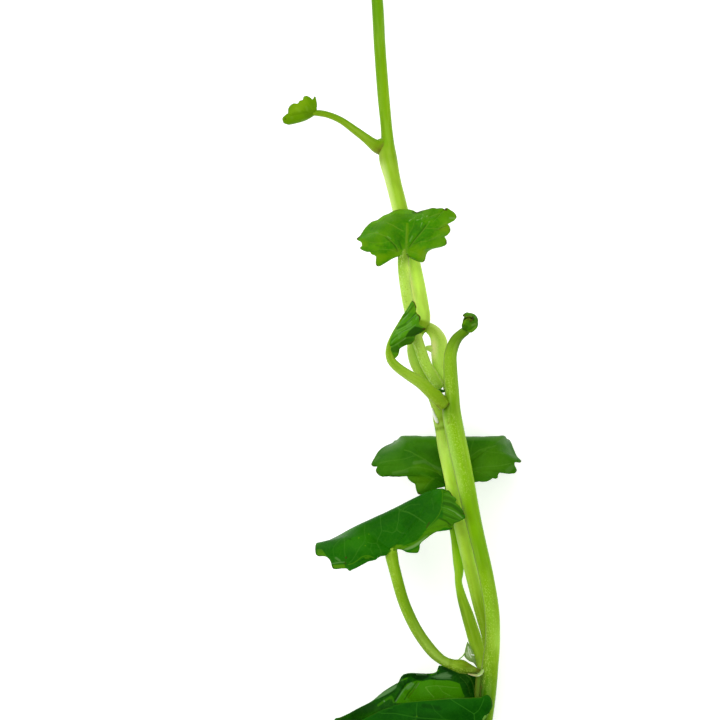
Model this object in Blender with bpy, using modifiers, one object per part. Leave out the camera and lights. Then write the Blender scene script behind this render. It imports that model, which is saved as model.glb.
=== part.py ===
"""A cut shoot of Japanese cress, laid down on a surface.

The long way of the shoot runs along Y, with the cut end at -Y and the growing tip at +Y. It is arched: its
middle stands on the back leaf, and both ends come down to the surface, which is Z = 0. Every place below is
in millimetres, seen from straight above, and the whole shoot hangs on one empty that brings the middle of
its footprint to the origin.
"""

import bisect

import bmesh
import bpy
from mathutils import Vector

MM = 0.001

# Driving dimensions, in millimetres
FOOTPRINT_CENTRE = (7.14, 2.98)
BLADE = 0.45
YOUNG_BLADE = 0.36
STEM_RADIUS = 1.3
STALK_RADIUS = 0.95
OPEN_RING = 0.06
STEPS_BETWEEN_RIBS = 2
TUBE_STEP = 2.6
EIGHT_SIDED = 1.035

# Heights of the middle line of each stem where it matters, in millimetres above the surface
JOINT_HEIGHT = 8.2
CREST_HEIGHT = 20.2

# Routes: (x, y, height, radius), from the older end to the younger one
MAIN_STEM = [
    (19.6, -71.0, 1.25, 1.22),
    (20.5, -66.5, 3.0, 1.27),
    (21.2, -62.0, 4.8, 1.32),
    (21.8, -57.0, 6.7, 1.38),
    (22.1, -52.6, JOINT_HEIGHT, 1.42),
    (22.55, -48.0, 9.8, 1.25),
    (22.45, -43.0, 11.4, 1.24),
    (21.5, -37.0, 13.3, 1.24),
    (20.1, -31.0, 15.1, 1.28),
    (18.95, -26.0, 16.5, 1.38),
    (17.95, -21.0, 17.7, 1.5),
    (16.9, -16.0, 18.7, 1.58),
    (16.0, -11.5, 19.4, 1.5),
    (15.5, -7.0, 19.9, 1.36),
    (15.25, -3.0, CREST_HEIGHT, 1.2),
    (15.35, 1.0, 20.3, 1.06),
    (16.15, 3.25, 20.5, 0.93),
    (17.1, 4.4, 20.7, 0.78),
    (17.75, 4.85, 20.8, 0.55),
]
LONG_SHOOT = [
    (21.85, -49.0, 7.0, 0.62),
    (21.4, -46.3, 8.0, 0.88),
    (20.5, -42.6, 9.3, 1.03),
    (19.08, -36.8, 11.2, 1.07),
    (17.65, -30.6, 13.0, 1.15),
    (16.55, -25.5, 14.4, 1.15),
    (15.5, -20.0, 15.5, 1.2),
    (14.5, -15.0, 16.1, 1.25),
    (13.85, -11.2, 16.2, 1.03),
    (13.2, -8.0, 16.0, 1.04),
    (12.2, -5.2, 15.8, 1.1),
    (10.8, -2.4, 15.5, 1.12),
    (9.6, -0.2, 15.2, 1.15),
    (9.15, 2.0, 14.8, 1.15),
    (9.55, 4.4, 14.4, 1.15),
    (10.65, 6.6, 14.0, 1.25),
    (10.45, 9.2, 13.5, STEM_RADIUS),
    (9.3, 14.8, 12.3, STEM_RADIUS),
    (7.9, 21.0, 10.9, STEM_RADIUS),
    (6.6, 26.6, 9.8, STEM_RADIUS),
    (5.6, 30.6, 9.0, STEM_RADIUS),
    (4.75, 34.6, 8.3, 1.5),
    (4.65, 37.8, 7.7, 1.04),
    (4.0, 45.0, 6.3, 1.0),
    (3.4, 53.0, 4.7, 0.98),
    (2.95, 61.2, 3.2, 0.97),
    (2.4, 67.0, 2.2, 0.85),
    (2.1, 71.5, 1.7, 0.6),
]
ARCHED_BRANCH = [
    (12.1, 5.65, 14.1, 0.85),
    (13.05, 4.7, 14.3, 1.3),
    (13.5, 3.2, 14.4, 1.42),
    (13.4, 1.2, 14.6, 1.3),
    (13.5, -0.8, 15.0, 1.2),
    (13.95, -2.4, 15.5, 1.05),
    (14.8, -4.0, 16.2, 0.9),
    (15.4, -6.0, 17.1, 0.8),
]
UPPER_LEAF_STALK = [
    (13.15, -4.35, 18.0, 0.8),
    (12.4, -3.0, 17.9, 0.95),
    (11.22, -0.85, 17.6, 0.93),
    (10.12, 2.2, 17.2, 0.93),
    (9.1, 5.6, 16.6, 0.93),
    (8.3, 9.2, 15.8, 0.95),
    (7.66, 13.0, 15.2, 0.95),
    (7.4, 16.2, 15.0, 0.95),
    (7.45, 17.7, 14.9, 0.7),
]
FOLDED_LEAF_STALK = [
    (13.3, -6.7, 21.2, 1.1),
    (12.3, -5.7, 21.3, 1.12),
    (10.4, -3.9, 21.3, 1.03),
    (8.3, -2.6, 21.2, 0.88),
    (6.5, -1.35, 21.1, 0.8),
    (5.3, -0.1, 21.0, 0.74),
    (4.9, 1.0, 20.9, 0.6),
    (4.85, 1.6, 20.9, 0.45),
]
BACK_LEAF_STALK = [
    (20.7, -51.6, 5.2, 1.1),
    (20.1, -49.3, 5.3, 1.18),
    (19.3, -46.6, 5.9, 1.14),
    (18.3, -43.4, 7.0, 1.02),
    (17.4, -40.6, 8.2, 0.82),
    (16.72, -37.6, 9.4, 0.67),
    (16.5, -34.2, 10.5, 0.67),
    (16.17, -31.0, 11.3, 0.66),
    (15.6, -27.0, 12.1, 0.7),
    (15.1, -24.0, 12.4, 0.66),
    (14.9, -22.2, 12.4, 0.45),
]
LEFT_LEAF_STALK = [
    (20.1, -52.6, 8.3, 0.62),
    (18.6, -52.45, 8.4, 0.78),
    (16.6, -52.15, 8.5, 0.9),
    (14.9, -51.75, 8.9, STALK_RADIUS),
    (13.3, -50.75, 9.6, STALK_RADIUS),
    (11.6, -48.75, 10.7, STALK_RADIUS),
    (9.8, -46.15, 12.1, STALK_RADIUS),
    (8.2, -43.0, 13.6, STALK_RADIUS),
    (7.1, -40.1, 14.8, STALK_RADIUS),
    (6.1, -36.4, 16.0, 0.97),
    (5.6, -34.4, 16.3, 0.98),
    (5.4, -33.2, 16.2, 0.85),
]
TOP_LEFT_LEAF_STALK = [
    (2.4, 36.75, 8.4, 0.82),
    (1.0, 37.95, 8.5, 0.68),
    (-1.0, 39.5, 8.4, 0.6),
    (-3.2, 40.8, 8.1, 0.57),
    (-5.4, 41.75, 7.7, 0.52),
    (-7.2, 42.1, 7.3, 0.42),
]
CRUMPLED_LEAF_STALK = [
    (18.4, -67.2, 2.6, 0.8),
    (16.6, -66.8, 2.4, 0.8),
    (14.6, -65.6, 2.6, 0.75),
    (13.2, -64.0, 3.0, 0.5),
]
FRONT_LEAF_STALK = [
    (20.6, -64.6, 5.9, 0.75),
    (20.2, -63.6, 6.9, 0.78),
    (19.7, -62.6, 7.7, 0.5),
]
TIP_LEAF_LEFT_STALK = [
    (1.15, 69.3, 2.0, 0.45),
    (0.0, 70.3, 2.2, 0.42),
    (-1.0, 71.0, 2.2, 0.3),
]
TIP_LEAF_RIGHT_STALK = [
    (3.55, 68.3, 2.1, 0.45),
    (4.5, 70.3, 2.5, 0.42),
    (5.3, 72.2, 2.6, 0.3),
]
DRY_SCALE = [
    (20.05, -53.9, 7.9, 0.2),
    (20.0, -55.2, 7.3, 0.3),
    (19.95, -56.6, 6.6, 0.3),
    (19.85, -57.8, 6.2, 0.12),
]
ROOT_TIP = [
    (20.3, -53.75, 9.6, 0.3),
    (19.4, -53.6, 9.6, 0.25),
    (18.4, -53.5, 9.5, 0.06),
]
ROOT_THREAD = [
    (17.0, -50.75, 8.3, 0.1),
    (17.5, -50.6, 7.9, 0.1),
    (17.95, -50.1, 7.3, 0.1),
]
JOINT_ROOTLET = [
    (12.75, -12.2, 14.7, 0.16),
    (12.35, -10.6, 15.0, 0.17),
    (12.15, -9.0, 15.2, 0.16),
    (11.7, -7.2, 15.1, 0.09),
]
JOINT_BUD = [
    (12.0, 1.95, 14.4, 0.34),
    (11.5, 1.95, 14.4, 0.42),
    (10.8, 2.0, 14.3, 0.2),
]

# Blades: the place where the veins meet, and one rib for each lobe tip and notch, as (bend, end) points
UPPER_LEAF = (
    (7.6, 18.5, 15.3),
    [
        ((5.4, 17.7, 15.9), (3.0, 15.95, 15.0)),
        ((4.9, 18.4, 16.2), (2.7, 17.7, 14.9)),
        ((4.3, 18.9, 16.3), (0.2, 18.85, 13.2)),
        ((4.2, 19.6, 16.4), (0.35, 19.8, 13.4)),
        ((4.0, 20.3, 16.4), (-0.5, 20.5, 12.2)),
        ((4.6, 21.5, 16.3), (0.9, 22.4, 12.0)),
        ((5.4, 22.4, 16.2), (3.1, 23.75, 12.6)),
        ((6.5, 22.8, 16.2), (5.6, 25.15, 13.2)),
        ((7.7, 23.0, 16.2), (8.1, 25.55, 13.2)),
        ((8.8, 22.7, 16.1), (9.65, 25.0, 13.4)),
        ((10.2, 22.6, 16.3), (12.5, 25.75, 13.6)),
        ((11.3, 22.3, 16.4), (14.45, 25.5, 13.4)),
        ((12.0, 21.8, 16.4), (16.35, 24.4, 12.6)),
        ((11.6, 21.1, 16.4), (14.75, 23.2, 13.6)),
        ((11.7, 20.5, 16.5), (15.3, 22.1, 13.4)),
        ((11.2, 20.0, 16.5), (14.2, 20.95, 14.0)),
        ((11.2, 19.3, 16.5), (14.7, 19.8, 13.8)),
        ((10.0, 18.5, 16.5), (11.5, 18.5, 15.2)),
        ((9.4, 17.4, 16.4), (10.75, 16.7, 15.2)),
    ],
)
FOLDED_LEAF = (
    (4.65, 2.2, 21.0),
    [
        ((5.3, 1.2, 19.9), (5.7, 0.7, 18.9)),
        ((6.0, 2.6, 19.2), (7.6, 3.4, 18.7)),
        ((6.4, 4.6, 19.3), (9.1, 6.4, 18.8)),
        ((6.15, 5.35, 20.4), (9.0, 10.0, 19.8)),
        ((6.7, 5.5, 21.6), (9.5, 8.2, 20.8)),
        ((7.3, 4.9, 22.3), (10.25, 7.2, 21.4)),
        ((7.5, 4.3, 22.4), (10.0, 5.9, 21.5)),
        ((7.8, 3.9, 22.1), (11.05, 5.35, 20.9)),
        ((7.2, 3.3, 21.6), (9.4, 4.3, 20.8)),
        ((7.1, 2.9, 21.3), (9.1, 3.2, 20.6)),
        ((6.3, 2.2, 21.2), (7.0, 2.2, 20.7)),
        ((5.9, 1.3, 21.3), (6.05, 0.4, 20.9)),
    ],
)
CURLED_LEAF = (
    (18.0, 5.0, 20.9),
    [
        ((17.5, 5.5, 21.6), (17.4, 6.6, 22.2)),
        ((17.9, 5.3, 22.0), (18.0, 7.0, 22.9)),
        ((18.9, 4.9, 21.9), (19.1, 6.8, 23.1)),
        ((19.85, 5.8, 21.4), (19.3, 7.9, 22.6)),
        ((20.15, 6.6, 20.6), (17.6, 7.65, 22.2)),
        ((19.5, 6.4, 19.6), (18.2, 7.9, 20.6)),
        ((18.5, 6.0, 19.3), (17.6, 7.0, 20.0)),
    ],
)
BACK_LEAF = (
    (14.9, -21.3, 12.3),
    [
        ((12.6, -22.25, 13.1), (10.0, -22.85, 13.4)),
        ((12.1, -20.8, 13.4), (9.25, -21.1, 13.2)),
        ((11.5, -20.0, 13.8), (8.0, -20.05, 13.3)),
        ((9.6, -19.1, 14.0), (3.5, -19.8, 11.7)),
        ((9.0, -18.3, 14.0), (2.95, -18.4, 11.0)),
        ((8.6, -17.6, 13.9), (2.0, -18.0, 10.0)),
        ((8.6, -16.1, 13.6), (3.25, -15.6, 8.5)),
        ((8.3, -14.2, 12.6), (5.55, -14.2, 6.2)),
        ((7.7, -13.05, 11.2), (6.3, -14.3, 1.0)),
        ((11.6, -13.05, 11.0), (11.0, -15.0, 0.2)),
        ((15.2, -13.0, 11.0), (15.6, -15.2, 0.2)),
        ((18.6, -13.05, 11.0), (19.8, -15.0, 0.2)),
        ((23.6, -13.05, 11.2), (25.0, -14.3, 1.0)),
        ((22.9, -14.0, 12.6), (25.6, -14.1, 6.2)),
        ((22.2, -15.0, 13.1), (26.25, -15.8, 7.9)),
        ((21.6, -15.9, 13.4), (27.35, -17.35, 9.6)),
        ((21.2, -17.4, 13.7), (26.2, -17.7, 10.8)),
        ((20.8, -18.3, 13.8), (26.5, -19.15, 11.2)),
        ((19.6, -18.9, 13.8), (23.6, -19.3, 12.6)),
        ((19.1, -19.5, 13.6), (22.9, -20.2, 12.8)),
        ((17.8, -20.3, 13.2), (20.3, -20.7, 13.2)),
    ],
)
LEFT_LEAF = (
    (5.35, -32.7, 16.9),
    [
        ((3.9, -32.95, 17.4), (2.6, -33.9, 17.5)),
        ((2.8, -32.9, 17.8), (0.5, -34.45, 17.7)),
        ((1.8, -32.9, 18.0), (-1.7, -35.75, 17.6)),
        ((0.9, -32.5, 18.1), (-2.7, -35.3, 17.2)),
        ((0.2, -32.2, 18.1), (-4.6, -35.3, 16.4)),
        ((-0.4, -31.6, 17.9), (-5.4, -33.6, 15.6)),
        ((-0.6, -31.0, 17.7), (-7.5, -33.1, 14.0)),
        ((-0.8, -30.3, 17.3), (-7.4, -31.3, 12.2)),
        ((-0.2, -28.7, 15.8), (-4.6, -30.6, 7.6)),
        ((3.2, -26.75, 16.2), (1.0, -29.0, 6.6)),
        ((6.6, -25.05, 16.9), (6.6, -27.2, 7.2)),
        ((9.5, -23.7, 17.8), (11.0, -24.8, 10.6)),
        ((10.6, -25.0, 19.2), (14.3, -21.85, 18.9)),
        ((11.0, -26.2, 19.5), (15.7, -22.9, 19.6)),
        ((11.2, -26.8, 19.6), (16.2, -24.05, 19.9)),
        ((11.6, -27.8, 19.7), (17.7, -25.9, 20.2)),
        ((11.4, -28.4, 19.7), (17.9, -27.15, 20.0)),
        ((10.8, -29.0, 19.5), (15.8, -27.8, 19.5)),
        ((10.3, -29.5, 19.4), (15.5, -28.55, 19.2)),
        ((9.8, -29.9, 19.2), (14.2, -28.35, 19.1)),
        ((9.2, -30.4, 19.0), (12.8, -29.1, 19.0)),
        ((7.9, -31.2, 18.4), (10.2, -31.1, 18.6)),
        ((7.2, -31.7, 17.9), (9.7, -32.65, 18.0)),
        ((6.6, -32.15, 17.4), (7.4, -32.2, 17.5)),
    ],
)
TOP_LEFT_LEAF = (
    (-7.55, 42.15, 7.2),
    [
        ((-8.3, 42.9, 6.2), (-8.6, 43.9, 5.2)),
        ((-9.4, 42.3, 5.6), (-10.8, 43.0, 4.6)),
        ((-10.2, 41.2, 6.0), (-13.0, 41.0, 5.4)),
        ((-10.0, 41.1, 7.6), (-12.3, 40.2, 7.2)),
        ((-10.2, 41.6, 8.3), (-13.2, 41.1, 7.9)),
        ((-9.9, 42.0, 8.5), (-12.3, 42.1, 8.3)),
        ((-9.7, 42.4, 8.6), (-11.9, 43.35, 8.3)),
        ((-9.2, 42.7, 8.6), (-10.4, 43.9, 8.5)),
        ((-8.8, 43.0, 8.5), (-9.3, 45.0, 8.3)),
        ((-8.2, 43.1, 8.2), (-8.15, 44.4, 8.1)),
        ((-7.7, 43.2, 7.9), (-7.65, 44.9, 8.0)),
        ((-7.5, 42.9, 7.6), (-7.35, 43.5, 7.7)),
    ],
)
CRUMPLED_LEAF = (
    (12.6, -63.2, 3.6),
    [
        ((8.0, -66.0, 1.6), (2.0, -68.6, 0.2)),
        ((5.4, -64.5, 1.8), (-3.4, -65.4, 0.2)),
        ((4.8, -62.0, 3.4), (-4.4, -61.6, 1.4)),
        ((6.2, -60.4, 4.6), (0.6, -59.0, 3.6)),
        ((7.4, -59.6, 5.0), (3.8, -56.8, 3.2)),
        ((8.8, -59.0, 4.4), (6.6, -55.1, 3.4)),
        ((9.6, -58.6, 4.6), (7.4, -53.6, 5.4)),
        ((10.6, -58.0, 4.6), (9.8, -53.5, 3.8)),
        ((11.6, -57.8, 4.8), (12.0, -53.6, 4.0)),
        ((12.1, -57.7, 4.9), (13.1, -53.25, 4.8)),
        ((12.6, -57.6, 5.0), (13.55, -52.15, 5.6)),
        ((14.4, -57.4, 5.4), (15.8, -52.9, 6.4)),
        ((16.0, -57.6, 5.8), (18.0, -53.7, 6.4)),
        ((16.9, -58.2, 5.6), (20.3, -54.6, 5.4)),
        ((17.2, -59.4, 4.8), (20.3, -57.2, 4.4)),
        ((17.0, -61.4, 2.6), (19.4, -59.8, 1.4)),
        ((15.8, -63.0, 1.0), (18.2, -63.4, 0.2)),
    ],
)
FRONT_LEAF = (
    (19.6, -61.9, 8.4),
    [
        ((21.0, -61.2, 9.2), (21.6, -60.4, 9.6)),
        ((21.4, -60.2, 9.6), (22.5, -58.8, 10.0)),
        ((21.1, -59.6, 9.6), (21.75, -57.05, 10.0)),
        ((19.8, -59.6, 9.6), (19.6, -57.4, 9.8)),
        ((17.4, -59.8, 9.5), (15.4, -57.6, 9.3)),
        ((14.6, -60.4, 9.3), (10.4, -58.05, 8.4)),
        ((12.0, -61.4, 9.0), (5.6, -58.9, 7.6)),
        ((10.0, -63.0, 8.4), (0.6, -61.2, 6.6)),
        ((9.6, -65.0, 7.0), (-4.6, -65.2, 4.2)),
        ((11.4, -66.6, 5.4), (-2.6, -69.4, 1.0)),
        ((13.8, -67.0, 4.6), (5.0, -71.2, 0.2)),
        ((15.8, -66.6, 4.8), (11.6, -71.0, 0.2)),
        ((17.2, -65.6, 5.6), (15.6, -69.4, 2.2)),
    ],
)
TIP_LEAF_LEFT = (
    (-1.2, 71.3, 2.2),
    [
        ((-2.4, 70.4, 2.0), (-4.4, 69.4, 0.2)),
        ((-3.4, 70.9, 2.1), (-6.4, 70.6, 0.2)),
        ((-3.6, 71.6, 2.2), (-6.2, 72.0, 0.6)),
        ((-3.7, 72.4, 2.4), (-6.9, 73.7, 0.7)),
        ((-3.1, 73.0, 2.6), (-5.4, 75.0, 1.4)),
        ((-2.5, 73.7, 2.7), (-4.6, 76.7, 1.5)),
        ((-1.9, 73.5, 2.7), (-2.7, 75.8, 1.9)),
        ((-1.2, 73.4, 2.6), (-1.0, 76.0, 2.0)),
        ((-0.7, 72.6, 2.4), (0.0, 73.8, 2.2)),
    ],
)
TIP_LEAF_RIGHT = (
    (5.45, 72.6, 2.6),
    [
        ((6.2, 71.5, 2.2), (7.2, 70.2, 0.2)),
        ((7.2, 71.7, 2.3), (9.6, 70.8, 0.2)),
        ((7.6, 72.5, 2.5), (10.0, 72.3, 0.6)),
        ((7.8, 73.3, 2.7), (11.2, 74.2, 0.5)),
        ((7.3, 74.0, 2.9), (9.6, 75.4, 1.4)),
        ((6.7, 74.8, 3.0), (8.8, 77.4, 1.4)),
        ((6.0, 74.6, 3.0), (7.0, 76.8, 2.0)),
        ((5.4, 74.4, 2.9), (5.2, 77.0, 2.2)),
        ((5.0, 73.6, 2.8), (4.3, 74.6, 2.6)),
    ],
)
TIP_BUD = (
    (2.1, 72.3, 1.7),
    [
        ((2.6, 73.0, 1.4), (3.0, 74.2, 1.3)),
        ((2.9, 73.3, 2.2), (3.0, 75.4, 2.1)),
        ((2.2, 73.6, 2.6), (2.0, 76.2, 2.3)),
        ((1.4, 73.3, 2.2), (1.1, 75.2, 2.1)),
        ((1.6, 73.0, 1.4), (1.2, 74.0, 1.3)),
    ],
)
ROOT_SHEATH = (
    (19.7, -52.2, 6.9),
    [
        ((19.3, -51.4, 7.2), (18.6, -51.15, 7.3)),
        ((19.1, -50.8, 7.3), (17.9, -50.4, 7.2)),
        ((19.0, -50.1, 7.2), (18.1, -49.2, 6.9)),
        ((19.0, -49.6, 7.1), (18.35, -48.2, 6.9)),
    ],
)
AXIL_LEAF = (
    (14.7, -5.1, 17.9),
    [
        ((14.2, -5.5, 18.2), (13.5, -5.3, 18.2)),
        ((14.0, -5.2, 18.3), (13.2, -4.9, 18.2)),
        ((14.2, -4.95, 18.2), (13.5, -4.65, 18.1)),
    ],
)


def knots_of(points):
    """One rising number for each point, further apart where the points are, so that the curve never loops."""
    knots = [0.0]
    for before, after in zip(points, points[1:]):
        knots.append(knots[-1] + (after - before).length ** 0.5)
    return knots


def on_curve(points, knots, at):
    """The place at a knot value on the smooth curve through the points."""
    last = len(points) - 1

    def slope(k):
        low, high = max(k - 1, 0), min(k + 1, last)
        if k in (0, last):
            return (points[high] - points[low]) / (knots[high] - knots[low])
        before, after = knots[k] - knots[low], knots[high] - knots[k]
        rise = (points[k] - points[low]) * (after / before) + (points[high] - points[k]) * (before / after)
        return rise / (before + after)

    i = min(max(bisect.bisect_right(knots, at) - 1, 0), last - 1)
    span = knots[i + 1] - knots[i]
    f = (at - knots[i]) / span
    start, end = points[i], points[i + 1]
    bow = slope(i) * (span * f * (1 - f) ** 2) - slope(i + 1) * (span * f * f * (1 - f))
    return start * ((1 + 2 * f) * (1 - f) ** 2) + end * (f * f * (3 - 2 * f)) + bow


def plant_material(name, colour, roughness):
    material = bpy.data.materials.new(name)
    material.use_nodes = True
    shader = material.node_tree.nodes["Principled BSDF"]
    shader.inputs["Base Color"].default_value = (*colour, 1)
    shader.inputs["Roughness"].default_value = roughness
    shader.inputs["Metallic"].default_value = 0
    return material


def add(name, data, material):
    data.materials.append(material)
    piece = bpy.data.objects.new(name, data)
    shoot.objects.link(piece)
    piece.parent = middle
    return piece


def stem(name, route, material):
    """A round stem or stalk: one tube along a smooth line through its route, thick and thin as the route says."""
    points = [Vector(point) for point in route]
    knots = knots_of([point.to_3d() for point in points])
    length = sum((b.to_3d() - a.to_3d()).length for a, b in zip(points, points[1:]))
    count = max(6, round(length / TUBE_STEP))
    curve = bpy.data.curves.new(name, "CURVE")
    curve.dimensions = "3D"
    curve.bevel_depth = EIGHT_SIDED * MM
    curve.bevel_resolution = 2
    curve.use_fill_caps = True
    line = curve.splines.new("POLY")
    line.points.add(count)
    for i, point in enumerate(line.points):
        x, y, height, radius = on_curve(points, knots, knots[-1] * i / count)
        point.co = (x * MM, y * MM, height * MM, 1)
        point.radius = radius
    return add(name, curve, material)


def blade(name, shape, material, thickness=BLADE, along=5):
    """A leaf blade: a grid whose columns are the ribs, bent onto them, then given its thickness."""
    base, ribs = Vector(shape[0]), [(Vector(bend), Vector(end)) for bend, end in shape[1]]
    knots = knots_of([end for _, end in ribs])
    across = STEPS_BETWEEN_RIBS * (len(ribs) - 1)
    grid = bmesh.new()
    bmesh.ops.create_grid(grid, x_segments=across, y_segments=along, size=0.5)
    for vertex in grid.verts:
        rib, part = divmod(round((vertex.co.x + 0.5) * across), STEPS_BETWEEN_RIBS)
        at = knots[rib]
        if part:
            at += (knots[rib + 1] - knots[rib]) * part / STEPS_BETWEEN_RIBS
        bend = on_curve([bend for bend, _ in ribs], knots, at)
        end = on_curve([end for _, end in ribs], knots, at)
        out = OPEN_RING + (1 - OPEN_RING) * (vertex.co.y + 0.5)
        place = on_curve([base, bend, end], [0.0, 0.5, 1.0], out)
        place.z = max(place.z, thickness / 2)
        vertex.co = place * MM
    mesh = bpy.data.meshes.new(name)
    grid.to_mesh(mesh)
    grid.free()
    mesh.shade_smooth()
    piece = add(name, mesh, material)
    wall = piece.modifiers.new("Thickness", "SOLIDIFY")
    wall.thickness = thickness * MM
    wall.offset = 0
    return piece


for old in list(bpy.data.objects):
    bpy.data.objects.remove(old)
shoot = bpy.data.collections.new("japanese_cress")
bpy.context.scene.collection.children.link(shoot)
middle = bpy.data.objects.new("middle_of_footprint", None)
middle.location = (-FOOTPRINT_CENTRE[0] * MM, -FOOTPRINT_CENTRE[1] * MM, 0)
shoot.objects.link(middle)

stem_green = plant_material("stem", (0.33, 0.55, 0.06), 0.38)
stalk_green = plant_material("stalk", (0.36, 0.56, 0.10), 0.40)
leaf_green = plant_material("leaf", (0.035, 0.16, 0.008), 0.36)
young_green = plant_material("young_leaf", (0.10, 0.30, 0.01), 0.40)
root_cream = plant_material("root", (0.62, 0.66, 0.36), 0.50)
dry_brown = plant_material("dry_scale", (0.16, 0.12, 0.03), 0.60)

stem("main_stem", MAIN_STEM, stem_green)
stem("long_shoot", LONG_SHOOT, stem_green)
stem("arched_branch", ARCHED_BRANCH, stem_green)
stem("upper_leaf_stalk", UPPER_LEAF_STALK, stalk_green)
stem("folded_leaf_stalk", FOLDED_LEAF_STALK, stalk_green)
stem("back_leaf_stalk", BACK_LEAF_STALK, stalk_green)
stem("left_leaf_stalk", LEFT_LEAF_STALK, stalk_green)
stem("top_left_leaf_stalk", TOP_LEFT_LEAF_STALK, stalk_green)
stem("crumpled_leaf_stalk", CRUMPLED_LEAF_STALK, stalk_green)
stem("front_leaf_stalk", FRONT_LEAF_STALK, stalk_green)
stem("tip_leaf_left_stalk", TIP_LEAF_LEFT_STALK, stalk_green)
stem("tip_leaf_right_stalk", TIP_LEAF_RIGHT_STALK, stalk_green)
stem("dry_scale", DRY_SCALE, dry_brown)
stem("root_tip", ROOT_TIP, root_cream)
stem("root_thread", ROOT_THREAD, root_cream)
stem("joint_rootlet", JOINT_ROOTLET, root_cream)
stem("joint_bud", JOINT_BUD, root_cream)

blade("upper_leaf", UPPER_LEAF, leaf_green)
blade("back_leaf", BACK_LEAF, leaf_green, along=6)
blade("left_leaf", LEFT_LEAF, leaf_green, along=6)
blade("crumpled_leaf", CRUMPLED_LEAF, leaf_green)
blade("front_leaf", FRONT_LEAF, leaf_green)
blade("folded_leaf", FOLDED_LEAF, young_green, thickness=YOUNG_BLADE, along=4)
blade("curled_leaf", CURLED_LEAF, young_green, thickness=YOUNG_BLADE, along=4)
blade("top_left_leaf", TOP_LEFT_LEAF, young_green, thickness=YOUNG_BLADE, along=4)
blade("tip_leaf_left", TIP_LEAF_LEFT, young_green, thickness=YOUNG_BLADE, along=3)
blade("tip_leaf_right", TIP_LEAF_RIGHT, young_green, thickness=YOUNG_BLADE, along=3)
blade("tip_bud", TIP_BUD, young_green, thickness=YOUNG_BLADE, along=3)
blade("root_sheath", ROOT_SHEATH, root_cream, thickness=YOUNG_BLADE, along=3)
blade("axil_leaf", AXIL_LEAF, leaf_green, thickness=YOUNG_BLADE, along=2)
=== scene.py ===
"""The looks of a cut shoot of Japanese cress, laid down on a white floor and seen from straight above.

Places are in millimetres from the middle of the view: x to the right, y up the picture and height above the
floor. Colours are red, green and blue from 0 to 255, as a screen shows them. Every piece sits on the solid
that it replaces, with its cut end at the bottom and its tip at the top.
"""

import bisect
import math

import bmesh
import bpy
import numpy as np
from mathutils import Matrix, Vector, noise


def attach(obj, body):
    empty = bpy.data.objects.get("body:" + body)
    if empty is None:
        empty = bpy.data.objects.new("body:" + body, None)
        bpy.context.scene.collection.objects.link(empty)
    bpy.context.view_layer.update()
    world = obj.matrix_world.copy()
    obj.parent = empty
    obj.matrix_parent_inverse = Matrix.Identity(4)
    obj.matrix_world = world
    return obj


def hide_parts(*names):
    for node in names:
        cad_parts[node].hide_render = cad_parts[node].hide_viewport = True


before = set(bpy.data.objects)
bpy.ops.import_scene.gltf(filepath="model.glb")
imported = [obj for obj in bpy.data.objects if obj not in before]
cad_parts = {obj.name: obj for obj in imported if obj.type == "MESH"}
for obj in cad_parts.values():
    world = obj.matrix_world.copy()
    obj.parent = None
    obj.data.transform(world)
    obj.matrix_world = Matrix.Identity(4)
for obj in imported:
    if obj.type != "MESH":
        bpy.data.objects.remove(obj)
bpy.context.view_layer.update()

# Main stem. The thick, juicy stem that carries everything, cut off flat at its lower end and narrowing to a
# young leaf that hasn't opened. It is smooth and ribbed very faintly, and small air spaces fleck much of its
# length. Its colour runs from side to side and along it, with painted light on its left side over its upper
# length and painted shade on its left side from 12 to 18 mm along, beside the low leaves.
MM = 0.001
MIDDLE_OF_FOOTPRINT = Vector((7.14, 2.98, 0.0))


def linear(colour):
    """A screen colour in the numbers that a shader takes."""
    parts = [value / 255 for value in colour]
    return [part / 12.92 if part < 0.04 else ((part + 0.055) / 1.055) ** 2.4 for part in parts] + [1.0]


def knots_of(points):
    """One rising number for each point, further apart where the points are, so that no curve loops."""
    knots = [0.0]
    for before, after in zip(points, points[1:]):
        knots.append(knots[-1] + (after - before).length ** 0.5)
    return knots


def on_curve(points, knots, at):
    """The place at a knot value on the smooth curve through the points."""
    last = len(points) - 1

    def slope(k):
        low, high = max(k - 1, 0), min(k + 1, last)
        if k in (0, last):
            return (points[high] - points[low]) / (knots[high] - knots[low])
        before, after = knots[k] - knots[low], knots[high] - knots[k]
        rise = (points[k] - points[low]) * (after / before) + (points[high] - points[k]) * (before / after)
        return rise / (before + after)

    i = min(max(bisect.bisect_right(knots, at) - 1, 0), last - 1)
    span = knots[i + 1] - knots[i]
    f = (at - knots[i]) / span
    start, end = points[i], points[i + 1]
    bow = slope(i) * (span * f * (1 - f) ** 2) - slope(i + 1) * (span * f * f * (1 - f))
    return start * ((1 + 2 * f) * (1 - f) ** 2) + end * (f * f * (3 - 2 * f)) + bow


def feed(tree, socket, value):
    """Puts a number, a screen colour or another node's output into a socket."""
    if isinstance(value, bpy.types.NodeSocket):
        tree.links.new(value, socket)
    elif isinstance(value, tuple):
        socket.default_value = linear(value)
    else:
        socket.default_value = value


def mixed(tree, share, first, second):
    node = tree.nodes.new("ShaderNodeMix")
    node.data_type = "RGBA"
    feed(tree, node.inputs[0], share)
    feed(tree, node.inputs[6], first)
    feed(tree, node.inputs[7], second)
    return node.outputs[2]


def reckoned(tree, operation, first, second=0.0):
    node = tree.nodes.new("ShaderNodeMath")
    node.operation = operation
    feed(tree, node.inputs[0], first)
    feed(tree, node.inputs[1], second)
    return node.outputs[0]


def times(tree, first, second):
    return reckoned(tree, "MULTIPLY", first, second)


def laid_over(tree, colour, tint, cover, strength):
    """The colour with a tint laid over it where the cover is high."""
    return mixed(tree, times(tree, cover, strength), colour, tint)


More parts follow.
